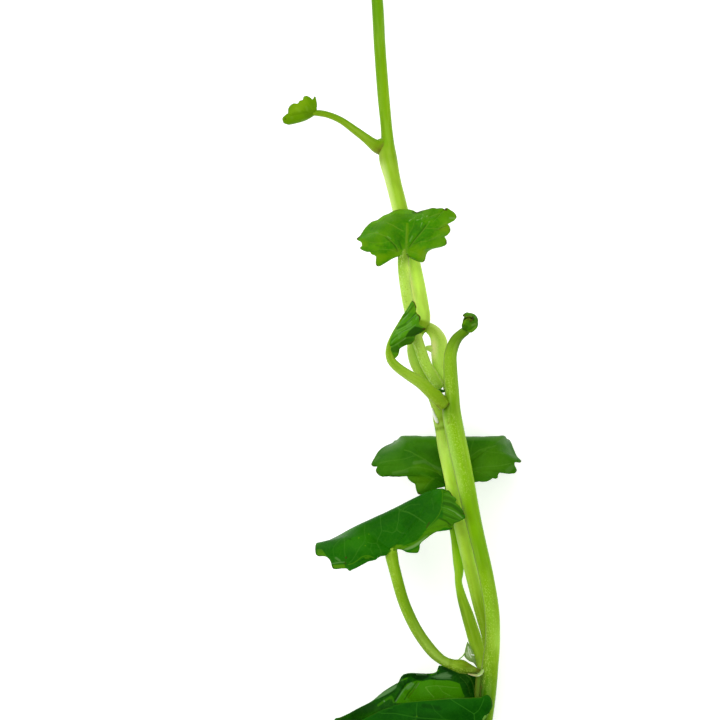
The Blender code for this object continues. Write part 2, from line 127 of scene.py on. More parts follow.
def between(tree, value, low, high, smooth=True):
    """0 where the value is low, 1 where it is high, and a soft rise between them."""
    node = tree.nodes.new("ShaderNodeMapRange")
    node.interpolation_type = "SMOOTHSTEP" if smooth else "LINEAR"
    feed(tree, node.inputs["Value"], value)
    node.inputs["From Min"].default_value = low
    node.inputs["From Max"].default_value = high
    return node.outputs["Result"]


def measured(tree, name, output="Fac"):
    """A measure that the piece's mesh carries, such as how far along a stem a point is."""
    node = tree.nodes.new("ShaderNodeAttribute")
    node.attribute_name = name
    return node.outputs[output]


def clouds(tree, place, scale, detail=2.0, upward=1.0):
    """Soft noise from 0 to 1, drawn out along the third axis where upward is below 1.

    The place is in metres or millimetres, and the scale is for one metre or one millimetre.
    """
    turned = tree.nodes.new("ShaderNodeMapping")
    turned.inputs["Scale"].default_value = (1.0, 1.0, upward)
    feed(tree, turned.inputs["Vector"], place)
    node = tree.nodes.new("ShaderNodeTexNoise")
    node.inputs["Scale"].default_value = scale
    node.inputs["Detail"].default_value = detail
    feed(tree, node.inputs["Vector"], turned.outputs["Vector"])
    return node.outputs["Fac"]


def side_to_side(tree, across, tints):
    """A colour that runs from the left tint over the middle one to the right one."""
    left_middle_right = (0.06, 0.45, 0.92)
    node = tree.nodes.new("ShaderNodeValToRGB")
    ramp = node.color_ramp
    ramp.interpolation = "EASE"
    ramp.elements.new(0.5)
    for element, place, tint in zip(ramp.elements, left_middle_right, tints):
        element.position = place
        element.color = linear(tint)
    feed(tree, node.inputs[0], across)
    return node.outputs[0]


def raised(tree, shader, height, depth):
    """Fine relief that is too small for the mesh, of the given depth in metres."""
    node = tree.nodes.new("ShaderNodeBump")
    node.inputs["Strength"].default_value = 1.0
    node.inputs["Distance"].default_value = depth
    feed(tree, node.inputs["Height"], height)
    tree.links.new(node.outputs["Normal"], shader.inputs["Normal"])


def stem_skin(name, bands, fleck=(196, 226, 100), flecks=0.35, shade=(92, 120, 10), line=None, mottle=0.16,
              clear=(), spread=(0.35, -0.7)):
    """The skin of a stem. A band is (millimetres along, left colour, middle colour, right colour).

    Pale flecks fade in from one place across to the other of the spread, -1 for the left side and 1 for the
    right. Each stretch that is clear of them is (where it starts, where they are gone, where they return,
    where it ends). A line along the stem is (place across, half width, strength, colour).
    """
    stained = (104, 84, 30)
    material = bpy.data.materials.new(name)
    material.use_nodes = True
    tree = material.node_tree
    shader = tree.nodes["Principled BSDF"]
    along = measured(tree, "along")
    side = measured(tree, "across")
    across = between(tree, side, -1.0, 1.0, smooth=False)
    skin = measured(tree, "skin", "Vector")
    # Painted light and shade: the bands are paler on the side of a stem that faces the light, and lifted
    # where other parts shade it.
    colour = side_to_side(tree, across, bands[0][1:])
    for (start, *_), (end, *tints) in zip(bands, bands[1:]):
        colour = mixed(tree, between(tree, along, start, end), colour, side_to_side(tree, across, tints))
    streaks = clouds(tree, skin, 1.7, upward=0.06)
    colour = laid_over(tree, colour, fleck, between(tree, streaks, 0.45, 0.72), 0.14)
    dull = clouds(tree, skin, 0.8, upward=0.3)
    colour = laid_over(tree, colour, shade, between(tree, dull, 0.46, 0.74), 0.2)
    air = clouds(tree, skin, 4.8, 3.0, upward=0.7)
    amount = times(tree, times(tree, between(tree, side, *spread), flecks), between(tree, air, 0.5, 0.66))
    for starts, gone, returns, ends in clear:
        entered, left = between(tree, along, starts, gone), between(tree, along, returns, ends)
        hidden = reckoned(tree, "SUBTRACT", entered, left)
        amount = times(tree, amount, reckoned(tree, "SUBTRACT", 1.0, hidden))
    colour = mixed(tree, amount, colour, fleck)
    specks = clouds(tree, skin, 7.0, 1.0, upward=0.6)
    colour = laid_over(tree, colour, shade, between(tree, specks, 0.62, 0.74), mottle)
    if line is not None:
        place, half_width, strength, tint = line
        off = reckoned(tree, "ABSOLUTE", reckoned(tree, "SUBTRACT", side, place))
        ink = times(tree, between(tree, off, half_width, 0.0), between(tree, air, 0.3, 0.5))
        colour = laid_over(tree, colour, tint, ink, strength)
    feed(tree, shader.inputs["Base Color"], mixed(tree, measured(tree, "brown"), colour, stained))
    feed(tree, shader.inputs["Roughness"], reckoned(tree, "ADD", times(tree, air, 0.2), 0.3))
    shader.inputs["Specular IOR Level"].default_value = 0.07
    shader.inputs["Subsurface Weight"].default_value = 0.3
    shader.inputs["Subsurface Radius"].default_value = (0.7, 1.0, 0.2)
    shader.inputs["Subsurface Scale"].default_value = 0.7 * MM
    raised(tree, shader, mixed(tree, 0.5, streaks, air), 0.018 * MM)
    return material


def stem(name, route, skin, around=32, step=0.34, rib=0.006, cut=False, rings=(), browned=()):
    """A stem or stalk as one closed tube along a smooth line through its route of (x, y, height, radius).

    It starts with a round end or a flat cut, and ends round. rings are the swellings at a joint or at the
    foot of a stalk, (place along, half width, extra radius), and browned are stained places, (place along,
    across, size, strength). Places along are in millimetres.
    """
    samples_for_each_place = 24
    fewest_rows = 18
    crowding_at_the_ends = 0.85
    ribs_around = 5
    unevenness = 0.012
    cut_edge = 0.12
    rib_start = 0.6
    rib_twist = 0.02
    wave_scale = 1.5
    wave_stretch = 0.25
    least_radius = 0.3
    weld_distance = 0.004
    points = [Vector(point) for point in route]
    knots = knots_of([point.to_3d() for point in points])
    samples = samples_for_each_place * len(points)
    track = [on_curve(points, knots, knots[-1] * i / samples) for i in range(samples + 1)]
    reach = [0.0]
    for before, after in zip(track, track[1:]):
        reach.append(reach[-1] + (after.to_3d() - before.to_3d()).length)
    length = reach[-1]
    rows = max(fewest_rows, round(length / step))
    tube = bmesh.new()
    bmesh.ops.create_grid(tube, x_segments=around, y_segments=rows, size=0.5)
    along_layer = tube.verts.layers.float.new("along")
    across_layer = tube.verts.layers.float.new("across")
    brown_layer = tube.verts.layers.float.new("brown")
    skin_layer = tube.verts.layers.float_vector.new("skin")
    for vertex in tube.verts:
        share = vertex.co.y + 0.5
        share -= crowding_at_the_ends * math.sin(2 * math.pi * share) / (2 * math.pi)
        along = length * share
        i = min(bisect.bisect_right(reach, along), len(track) - 1)
        here = track[i - 1].lerp(track[i], (along - reach[i - 1]) / (reach[i] - reach[i - 1]))
        forward = (track[min(i + 1, samples)] - track[max(i - 2, 0)]).to_3d().normalized()
        right = forward.cross(Vector((0, 0, 1))).normalized()
        up = right.cross(forward)
        turn = 2 * math.pi * vertex.co.x
        radius = here.w
        for place, half_width, extra in rings:
            radius += extra * math.exp(-(((along - place) / half_width) ** 2))
        radius *= 1 + rib * math.cos(ribs_around * turn + rib_start + along * rib_twist)
        wave = noise.noise(Vector((math.sin(turn), math.cos(turn), along * wave_stretch)) * wave_scale)
        radius *= 1 + unevenness * wave
        if cut and along < cut_edge:
            radius *= along / cut_edge
        for from_end, is_round in ((along, not cut), (length - along, True)):
            if is_round and from_end < here.w:
                radius *= math.sqrt(max(0.0, 1 - (1 - from_end / here.w) ** 2))
        place = here.to_3d() + (right * math.sin(turn) + up * math.cos(turn)) * radius
        vertex[along_layer] = along
        vertex[across_layer] = math.sin(turn)
        upward = along / max(here.w, least_radius)
        vertex[skin_layer] = Vector((math.sin(turn), math.cos(turn), upward)) * here.w
        stain = 0.0
        for spot, side, size, strength in browned:
            off = math.hypot(along - spot, (turn - math.asin(side)) * here.w)
            stain = max(stain, strength * math.exp(-((off / size) ** 2)))
        vertex[brown_layer] = stain
        vertex.co = (place - MIDDLE_OF_FOOTPRINT) * MM
    bmesh.ops.remove_doubles(tube, verts=tube.verts, dist=weld_distance * MM)
    bmesh.ops.recalc_face_normals(tube, faces=tube.faces)
    mesh = bpy.data.meshes.new(name)
    tube.to_mesh(mesh)
    tube.free()
    mesh.shade_smooth()
    mesh.materials.append(skin)
    piece = bpy.data.objects.new(name + "_skin", mesh)
    bpy.context.scene.collection.objects.link(piece)
    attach(piece, "root")
    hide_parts(name)
    return piece


# Painted light on the left side from 47 to 64 mm along, and painted shade on the left from 12 to 18 mm
# along.
main_skin = stem_skin(
    "main_stem_skin",
    [
        (0, (100, 138, 10), (100, 144, 0), (98, 142, 0)), (12, (46, 96, 0), (66, 122, 0), (106, 154, 0)),
        (16, (46, 98, 0), (64, 122, 0), (106, 154, 0)), (18, (68, 114, 0), (82, 136, 0), (108, 154, 0)),
        (20, (104, 146, 2), (108, 156, 0), (120, 164, 2)),
        (22.4, (114, 154, 10), (120, 168, 8), (134, 178, 24)),
        (25, (112, 156, 8), (142, 186, 40), (158, 204, 64)),
        (30.5, (132, 180, 20), (136, 184, 34), (130, 174, 22)),
        (36, (134, 182, 16), (130, 178, 8), (118, 166, 0)),
        (42, (122, 174, 0), (112, 166, 0), (112, 164, 0)), (47, (138, 190, 8), (126, 182, 0), (118, 170, 0)),
        (50.4, (148, 202, 24), (122, 176, 0), (118, 170, 0)),
        (53.9, (170, 216, 80), (132, 184, 14), (128, 180, 8)),
        (60, (162, 210, 84), (132, 184, 12), (134, 184, 14)),
        (63.7, (156, 204, 72), (134, 184, 14), (122, 172, 8)),
        (67, (92, 138, 0), (104, 152, 0), (116, 160, 10)),
        (70, (132, 176, 34), (128, 174, 16), (112, 162, 0)),
        (75, (136, 180, 34), (132, 178, 22), (116, 164, 6)), (79, (96, 140, 8), (92, 138, 0), (76, 120, 0)),
    ],
    flecks=0.44, line=(-0.95, 0.1, 0.45, (122, 112, 70)), mottle=0.24,
    clear=[(-1, 0, 15, 19), (35, 39, 50, 53), (65, 66.5, 68, 70), (69, 80, 90, 91)], spread=(1.1, -0.4),
)
main_stem = stem(
    "main_stem",
    [
        (19.6, -71, 1.25, 1.22), (20.5, -66.5, 3, 1.27), (21.2, -62, 4.8, 1.32), (21.8, -57, 6.7, 1.4),
        (22.1, -52.6, 8.2, 1.45), (22.55, -48, 9.8, 1.29), (22.45, -43, 11.4, 1.27), (21.5, -37, 13.3, 1.27),
        (20.1, -31, 15.1, 1.31), (18.95, -26, 16.5, 1.41), (17.95, -21, 17.7, 1.53),
        (16.88, -16, 18.7, 1.64), (15.95, -11.5, 19.4, 1.62), (15.5, -8.6, 19.75, 1.56),
        (15.56, -6.6, 19.9, 1.32), (15.58, -5.2, 20, 1.2), (15.4, -3.4, 20.2, 1.22),
        (15.3, -1.4, 20.25, 1.17), (15.35, 1, 20.3, 1.09), (16.15, 3.25, 20.5, 0.96),
        (17.05, 4.3, 20.7, 0.84), (17.9, 4.95, 20.9, 0.78), (18.5, 5.6, 21, 0.6),
    ],
    main_skin, around=40, cut=True,
    browned=[
        (16.6, -0.9, 0.3, 0.8), (15.4, -0.94, 0.35, 0.6), (14.4, -0.94, 0.25, 0.5), (18.4, 0.97, 0.26, 0.7),
        (16.9, 0.97, 0.24, 0.9), (64.4, -0.5, 0.22, 0.5),
    ],
)

# Long shoot. The second stem, which leaves the joint low on the main stem behind it, turns left in a loose
# bend and runs on to the growing tip. Its upper length is smooth and clear of flecks. Over its middle length
# it is pale on the left with painted light, and its right side is lightened with painted light where the
# main stem shades it.
long_shoot = stem(
    "long_shoot",
    [
        (22, -51, 7.4, 0.7), (21.85, -49, 7.2, 0.72), (21.4, -46.3, 8, 0.88), (20.5, -42.6, 9.3, 1.04),
        (19.08, -36.8, 11.2, 1.09), (17.65, -30.6, 13, 1.17), (16.55, -25.5, 14.4, 1.17),
        (15.5, -20, 15.5, 1.22), (14.5, -15, 16.1, 1.27), (13.85, -11.6, 16.2, 1.14),
        (13.5, -9.8, 16.15, 1.14), (13.2, -8, 16, 1.07), (12.2, -5.2, 15.8, 1.12), (10.65, -2.4, 15.5, 1.16),
        (9.52, -0.2, 15.2, 1.17), (9.15, 2, 14.8, 1.17), (9.55, 4.4, 14.4, 1.17), (10.65, 6.6, 14, 1.28),
        (10.38, 9.2, 13.5, 1.3), (9.3, 14.8, 12.3, 1.33), (7.9, 21, 10.9, 1.33), (6.6, 26.6, 9.8, 1.33),
        (5.6, 30.6, 9, 1.33), (4.75, 34.6, 8.3, 1.53), (4.65, 37.8, 7.7, 1.06), (4, 45, 6.3, 1.02),
        (3.4, 53, 4.7, 1), (2.95, 61.2, 3.2, 0.99), (2.4, 67, 2.2, 0.87), (2.15, 71, 1.75, 0.68),
        (2.1, 73.2, 1.75, 0.42),
    ],
    stem_skin(
        "long_shoot_skin",
        [
            (0, (116, 154, 4), (118, 156, 4), (126, 160, 14)),
            (9, (116, 158, 0), (128, 170, 4), (158, 198, 30)),
            (14.6, (160, 202, 58), (158, 200, 40), (186, 224, 70)),
            (21, (188, 228, 96), (176, 218, 54), (200, 240, 72)),
            (27, (186, 230, 80), (184, 226, 60), (222, 255, 104)),
            (32.5, (214, 252, 104), (182, 226, 62), (212, 242, 96)),
            (38, (172, 212, 84), (194, 234, 92), (230, 250, 136)),
            (40.9, (166, 200, 80), (166, 204, 66), (190, 220, 96)),
            (41.6, (112, 148, 24), (116, 152, 20), (132, 166, 40)),
            (42.1, (158, 194, 80), (158, 196, 70), (162, 198, 76)),
            (42.9, (150, 186, 56), (148, 186, 42), (144, 180, 40)),
            (44.2, (162, 200, 68), (160, 200, 54), (158, 196, 50)),
            (50, (152, 194, 50), (160, 202, 44), (168, 208, 62)),
            (55, (168, 208, 74), (178, 218, 78), (188, 226, 90)),
            (58.5, (170, 210, 76), (170, 212, 68), (160, 202, 56)),
            (59.6, (136, 170, 18), (138, 176, 18), (136, 174, 16)),
            (60.8, (140, 176, 22), (142, 180, 24), (140, 178, 22)),
            (61.3, (226, 250, 130), (198, 238, 88), (180, 222, 72)),
            (65, (246, 255, 150), (206, 244, 90), (174, 216, 70)),
            (70, (255, 255, 176), (206, 244, 88), (176, 218, 70)),
            (71.6, (255, 255, 180), (216, 250, 98), (196, 236, 84)),
            (78, (206, 238, 116), (168, 210, 54), (150, 192, 40)),
            (88, (202, 228, 128), (148, 190, 34), (142, 182, 34)),
            (90.4, (150, 184, 56), (134, 176, 20), (126, 168, 12)),
            (93, (116, 160, 6), (124, 174, 4), (118, 164, 4)),
            (100, (112, 160, 4), (122, 170, 2), (128, 172, 8)),
            (107, (110, 160, 6), (116, 166, 2), (120, 168, 8)),
            (114, (94, 146, 0), (104, 160, 0), (106, 158, 0)),
            (128, (90, 144, 0), (98, 152, 0), (90, 142, 0)),
        ],
        flecks=0.2, clear=[(86, 90, 130, 131)],
    ),
    around=36, rings=[(60.4, 0.5, 0.04)],
    browned=[(43, 0.2, 0.3, 0.3), (42.5, -0.35, 0.2, 0.7), (41.6, 0.1, 0.16, 0.35), (40.6, 0.5, 0.35, 0.35)],
)

# Arched branch. A pale, thick side branch that springs from the long shoot's upper joint, bows to the right
# and goes down behind the main stem. Light comes through it, and its inner side carries painted light where
# the stalks shade it, so it is among the palest greens of all.
arched_branch = stem(
    "arched_branch",
    [
        (10.8, 5.7, 13.6, 0.8), (11.85, 5.35, 13.9, 0.98), (12.85, 4.4, 14.5, 1.18), (13.42, 3, 14.9, 1.4),
        (13.4, 1.2, 15.1, 1.34), (13.5, -0.8, 15.4, 1.22), (13.95, -2.4, 15.7, 1.08), (14.8, -4, 16.2, 0.95),
        (15.4, -6, 17.3, 0.85),
    ],
    stem_skin(
        "arched_branch_skin",
        [
            (0, (140, 178, 40), (140, 178, 40), (146, 184, 50)),
            (2, (180, 204, 100), (172, 208, 66), (228, 255, 108)),
            (5.5, (170, 208, 72), (172, 212, 74), (255, 255, 172)),
            (8.5, (170, 210, 66), (180, 220, 84), (206, 240, 96)),
            (13, (186, 222, 92), (180, 218, 76), (176, 212, 70)),
        ],
        mottle=0.3,
    ),
)

# Leaf stalks. Soft, slightly clear green stalks, most of them a little swollen where they clasp their stem,
# which run on under the leaf as its middle vein. They are speckled finely, and one has a thin brown line.
# The back leaf's stalk is lightened with painted light where its leaf and the stems shade it.
upper_leaf_stalk = stem(
    "upper_leaf_stalk",
    [
        (13.5, -5, 17.5, 0.8), (13.15, -4.2, 17.8, 0.93), (12.5, -3, 17.9, 0.97), (11.22, -0.85, 17.6, 0.96),
        (10.12, 2.2, 17.2, 0.96), (9.1, 5.6, 16.6, 0.96), (8.3, 9.2, 15.8, 0.98), (7.66, 13, 15.2, 0.97),
        (7.4, 16, 15, 1), (7.38, 17.4, 15.05, 0.94), (7.5, 18.5, 15, 0.74), (7.7, 19.6, 15.1, 0.52),
        (7.8, 21, 15.3, 0.36), (7.9, 22.6, 15.3, 0.24),
    ],
    stem_skin(
        "upper_leaf_stalk_skin",
        [
            (0, (160, 202, 76), (160, 204, 66), (156, 196, 60)),
            (4, (154, 196, 60), (158, 200, 56), (168, 208, 70)),
            (9, (162, 204, 66), (164, 206, 64), (176, 214, 78)),
            (14, (174, 214, 80), (176, 214, 72), (188, 224, 90)),
            (19, (184, 224, 88), (178, 218, 78), (176, 212, 86)),
            (21.6, (160, 202, 62), (160, 202, 66), (198, 234, 96)),
            (24, (112, 160, 24), (120, 162, 36), (130, 166, 52)),
            (26, (92, 148, 6), (108, 154, 26), (108, 150, 34)),
            (30, (78, 138, 4), (100, 144, 26), (92, 138, 20)),
        ],
        fleck=(206, 232, 128), flecks=0.7, line=(0.84, 0.1, 0.4, (132, 116, 84)), mottle=0.5,
    ),
    rings=[(0.9, 0.8, 0.1)],
)
folded_leaf_stalk = stem(
    "folded_leaf_stalk",
    [
        (14.42, -7.98, 20.72, 1.06), (14, -7.35, 20.88, 1.1), (13.2, -6.5, 21.1, 1.16),
        (12.2, -5.55, 21.25, 1.13), (10.4, -3.9, 21.35, 1.04), (8.3, -2.6, 21.2, 0.89),
        (6.5, -1.35, 21.1, 0.8), (5.3, -0.1, 21, 0.74), (4.9, 1.2, 20.9, 0.62), (4.95, 2.7, 20.95, 0.38),
        (5.6, 4.5, 20.8, 0.2), (6.6, 6.3, 20.6, 0.14), (7.5, 7.9, 20.3, 0.08),
    ],
    stem_skin(
        "folded_leaf_stalk_skin",
        [
            (0.1, (112, 140, 20), (96, 130, 4), (60, 84, 0)),
            (0.3, (116, 146, 20), (104, 138, 6), (74, 100, 0)),
            (0.6, (124, 156, 24), (118, 158, 14), (112, 152, 12)),
            (2.4, (140, 176, 40), (124, 166, 14), (120, 162, 14)),
            (8, (156, 192, 66), (130, 172, 20), (138, 178, 40)),
            (13, (146, 184, 56), (120, 164, 6), (132, 172, 34)),
            (18, (118, 164, 20), (106, 154, 4), (110, 156, 10)),
            (22, (84, 138, 10), (92, 146, 10), (80, 136, 6)),
        ],
        flecks=0.25,
    ),
    cut=True, browned=[(0.15, 0.7, 0.26, 0.5), (1.5, 0.85, 0.35, 0.4), (1, -0.9, 0.4, 0.5)],
)
# Painted light: this stalk's colours are lifted where the back leaf and the stems shade it.
back_leaf_stalk = stem(
    "back_leaf_stalk",
    [
        (21.6, -53, 6.2, 1), (20.7, -51.6, 5.5, 1.12), (20.1, -49.3, 5.4, 1.2), (19.3, -46.6, 5.9, 1.16),
        (18.3, -43.4, 7, 1.04), (17.4, -40.6, 8.2, 0.83), (16.75, -37.6, 9.4, 0.62),
        (16.85, -36.3, 9.8, 0.76), (16.76, -34.6, 10.3, 0.9), (16.5, -32.6, 10.9, 0.84),
        (16.2, -30.6, 11.4, 0.72), (15.6, -27, 12.1, 0.7), (15.1, -24, 12.4, 0.64),
        (14.85, -21.6, 12.4, 0.44), (14.7, -19.2, 12.6, 0.18),
    ],
    stem_skin(
        "back_leaf_stalk_skin",
        [
            (0, (160, 200, 60), (156, 196, 50), (158, 200, 40)),
            (3.5, (156, 196, 48), (152, 192, 40), (156, 198, 34)),
            (7, (134, 174, 14), (132, 174, 18), (148, 190, 24)),
            (12, (104, 148, 0), (130, 174, 10), (136, 180, 12)),
            (17, (152, 200, 44), (144, 194, 26), (140, 190, 24)),
            (23.5, (162, 214, 44), (146, 204, 10), (166, 230, 16)),
            (34, (96, 150, 0), (88, 142, 0), (78, 132, 0)),
        ],
        flecks=0.05,
    ),
)
left_leaf_stalk = stem(
    "left_leaf_stalk",
    [
        (21.4, -53.1, 8.2, 0.3), (20.3, -52.98, 8.4, 0.36), (19.2, -52.74, 8.5, 0.68), (18.2, -52.5, 8.6, 1),
        (17.2, -52.18, 8.7, 1.2), (15.8, -51.85, 8.8, 0.92), (14.2, -51.2, 9.1, 0.84),
        (12.9, -50.2, 9.9, 0.92), (11.6, -48.75, 10.7, 0.96), (9.8, -46.15, 12.1, 0.96),
        (8.2, -43, 13.6, 0.96), (7.1, -40.1, 14.8, 0.96), (6.1, -36.4, 15.9, 0.98), (5.6, -34.4, 16.1, 1.02),
        (5.38, -33.2, 16.15, 1.08), (5.5, -32.3, 16.55, 0.92), (5.85, -31.75, 16.5, 0.66),
        (6.3, -31.4, 16.3, 0.3),
    ],
    stem_skin(
        "left_leaf_stalk_skin",
        [
            (0, (96, 120, 10), (92, 120, 4), (92, 116, 10)),
            (2.4, (84, 114, 0), (100, 134, 8), (104, 134, 14)),
            (3.6, (78, 112, 0), (96, 132, 0), (110, 140, 10)),
            (5.6, (92, 132, 0), (124, 162, 24), (116, 150, 10)),
            (6.4, (86, 122, 0), (104, 142, 4), (106, 142, 4)),
            (7, (112, 152, 26), (130, 170, 56), (120, 160, 30)),
            (9.5, (112, 152, 10), (136, 174, 56), (118, 156, 20)),
            (20, (132, 174, 30), (116, 160, 8), (102, 146, 0)),
            (27, (140, 184, 40), (128, 172, 16), (110, 156, 2)),
            (30, (136, 180, 34), (124, 168, 16), (110, 156, 4)),
            (32, (126, 172, 40), (120, 166, 26), (116, 160, 24)),
        ],
    ),
    rings=[(6.7, 0.2, -0.05)], browned=[(6.6, 0.2, 0.15, 0.3), (3.4, 0.5, 0.35, 0.3), (1.4, 0.3, 0.4, 0.6)],
)
top_left_leaf_stalk = stem(
    "top_left_leaf_stalk",
    [
        (4.9, 36.2, 7.4, 1.3), (4.2, 36.3, 7.5, 1.52), (3.5, 36.34, 7.7, 1.48), (2.9, 36.42, 8, 1.2),
        (2.04, 36.95, 8.3, 0.95), (1.02, 37.75, 8.5, 0.8), (-1, 39.25, 8.4, 0.68), (-3.2, 40.8, 8.1, 0.58),
        (-5.4, 41.75, 7.7, 0.54), (-7.2, 42.08, 7.5, 0.52), (-8.8, 41.95, 7.5, 0.3),
    ],
    stem_skin(
        "top_left_leaf_stalk_skin",
        [
            (0, (126, 160, 20), (120, 160, 10), (112, 160, 0)),
            (3, (132, 168, 28), (122, 162, 8), (112, 156, 0)),
            (12, (130, 166, 28), (116, 158, 2), (106, 150, 0)),
        ],
        flecks=0.1,
    ),
    step=0.3,
    browned=[(1.9, -0.85, 0.5, 0.7), (1.8, -0.5, 0.6, 0.75), (1.7, 0, 0.5, 0.55), (1.4, 0.3, 0.35, 0.4)],
)
dim_skin = stem_skin(
    "shaded_stalk_skin",
    [(0, (140, 180, 60), (124, 170, 30), (110, 156, 20)), (6, (90, 140, 26), (80, 132, 20), (70, 120, 14))],
)
crumpled_leaf_stalk = stem(
    "crumpled_leaf_stalk",
    [
        (19.8, -67.4, 2.7, 0.8), (18.4, -67.2, 2.6, 0.82), (16.6, -66.8, 2.4, 0.82),
        (14.6, -65.6, 2.6, 0.77), (13, -63.6, 3.2, 0.5), (12, -61.6, 3.8, 0.2),
    ],
    dim_skin,
)
front_leaf_stalk = stem(
    "front_leaf_stalk",
    [
        (20.8, -65.6, 4.6, 0.78), (20.6, -64.6, 5.9, 0.77), (20.2, -63.6, 6.9, 0.78),
        (19.5, -62.3, 7.9, 0.52), (18, -61.6, 8.6, 0.2),
    ],
    dim_skin, step=0.25,
)
tip_leaf_left_stalk = stem(
    "tip_leaf_left_stalk",
    [(2.2, 68.4, 1.8, 0.45), (1.15, 69.3, 2, 0.46), (0, 70.3, 2.2, 0.43), (-1.2, 71.2, 2.25, 0.26)],
    dim_skin, step=0.2,
)
tip_leaf_right_stalk = stem(
    "tip_leaf_right_stalk",
    [(2.6, 66.8, 1.9, 0.45), (3.55, 68.3, 2.1, 0.46), (4.5, 70.3, 2.5, 0.43), (5.5, 72.6, 2.6, 0.26)],
    dim_skin, step=0.2,
)

# Upper leaf. The bright lobed leaf in front of the long shoot. Its blade is thin and soft, folds down on
# both sides of the middle vein, and bulges between sunken side veins. Its points are browned.
def way_from(line, flat):
    """Where each point lies from a straight line: its share of the line, the way from it and its length."""
    start, end = line
    along = end - start
    share = np.clip(((flat - start) @ along) / (along @ along), 0, 1)
    way = flat - start - share[:, None] * along
    return share, way, np.linalg.norm(way, axis=1)


def depth_in(outline, flat):
    """How deep each point lies inside an outline, and below 0 how far outside it."""
    inside = np.zeros(len(flat), bool)
    depth = np.full(len(flat), 1000.0)
    for start, end in zip(outline, outline[1:]):
        crossed = (flat[:, 1] < start[1]) != (flat[:, 1] < end[1])
        slant = (end[0] - start[0]) / ((end[1] - start[1]) or 1e-9)
        inside ^= crossed & (flat[:, 0] < start[0] + (flat[:, 1] - start[1]) * slant)
        depth = np.minimum(depth, way_from((start, end), flat)[2])
    return np.where(inside, depth, -depth)


def height_at(spot, points):
    """The height of the blade at a spot, that of its upper layer where it lies double."""
    near_by = 0.35
    off = np.linalg.norm(points[:, :2] - spot, axis=1)
    near = np.flatnonzero(off < near_by)
    return points[near, 2].max() if len(near) else points[np.argmin(off), 2]


def brush(points, strokes):
    """Where each point lies from the strokes that are drawn on a leaf, seen from above.

    A stroke is (width, strength, place, place and so on). It gives the way to its line in widths, and its
    strength near it. One that ends where it starts is an area, and gives the depth inside it in widths, and
    its strength. Third comes how far each point is covered, for the relief, softer than the drawing.
    """
    longest_part = 0.6
    layer_gap = 0.9
    least_reach = 0.45
    narrowest_furrow = 0.25
    far_off = 9.0
    flat = points[:, :2]
    lines = np.tile([far_off, far_off, 0.0], (len(points), 1))
    areas = np.tile([-far_off, 0.0, 0.0], (len(points), 1))
    cover = np.zeros(len(points))
    nearest = np.full(len(points), 1e6)
    for width, strength, *places in strokes:
        is_area = len(places) > 3 and places[0] == places[-1]
        places = [np.array(place, float) for place in places]
        if is_area:
            depth = depth_in(places, flat) / width
            deeper = depth > areas[:, 0]
            areas[deeper, 0] = depth[deeper]
            areas[deeper, 1] = strength
            cover = np.maximum(cover, strength * np.clip(depth, 0, 1))
            continue
        if len(places) == 1:
            places.append(places[0] + 1e-5)
        reach = max(least_reach, 1.5 * width)
        furrow = max(narrowest_furrow, width)
        for start, end in zip(places, places[1:]):
            count = int(np.ceil(np.linalg.norm(end - start) / longest_part))
            spots = [start + (end - start) * part / count for part in range(count + 1)]
            heights = [height_at(spot, points) for spot in spots]
            for spot, next_spot, height, next_height in zip(spots, spots[1:], heights, heights[1:]):
                share, way, off = way_from((spot, next_spot), flat)
                same_layer = np.abs(points[:, 2] - height - share * (next_height - height)) < layer_gap
                closer = same_layer & (off / width < nearest)
                nearest[closer] = off[closer] / width
                lines[closer, :2] = way[closer] / width
                lines[closer, 2] = strength * np.clip(2 - off[closer] / reach, 0, 1)
                cover = np.maximum(cover, strength * np.exp(-((off / furrow) ** 2)) * same_layer)
    return lines, areas, cover


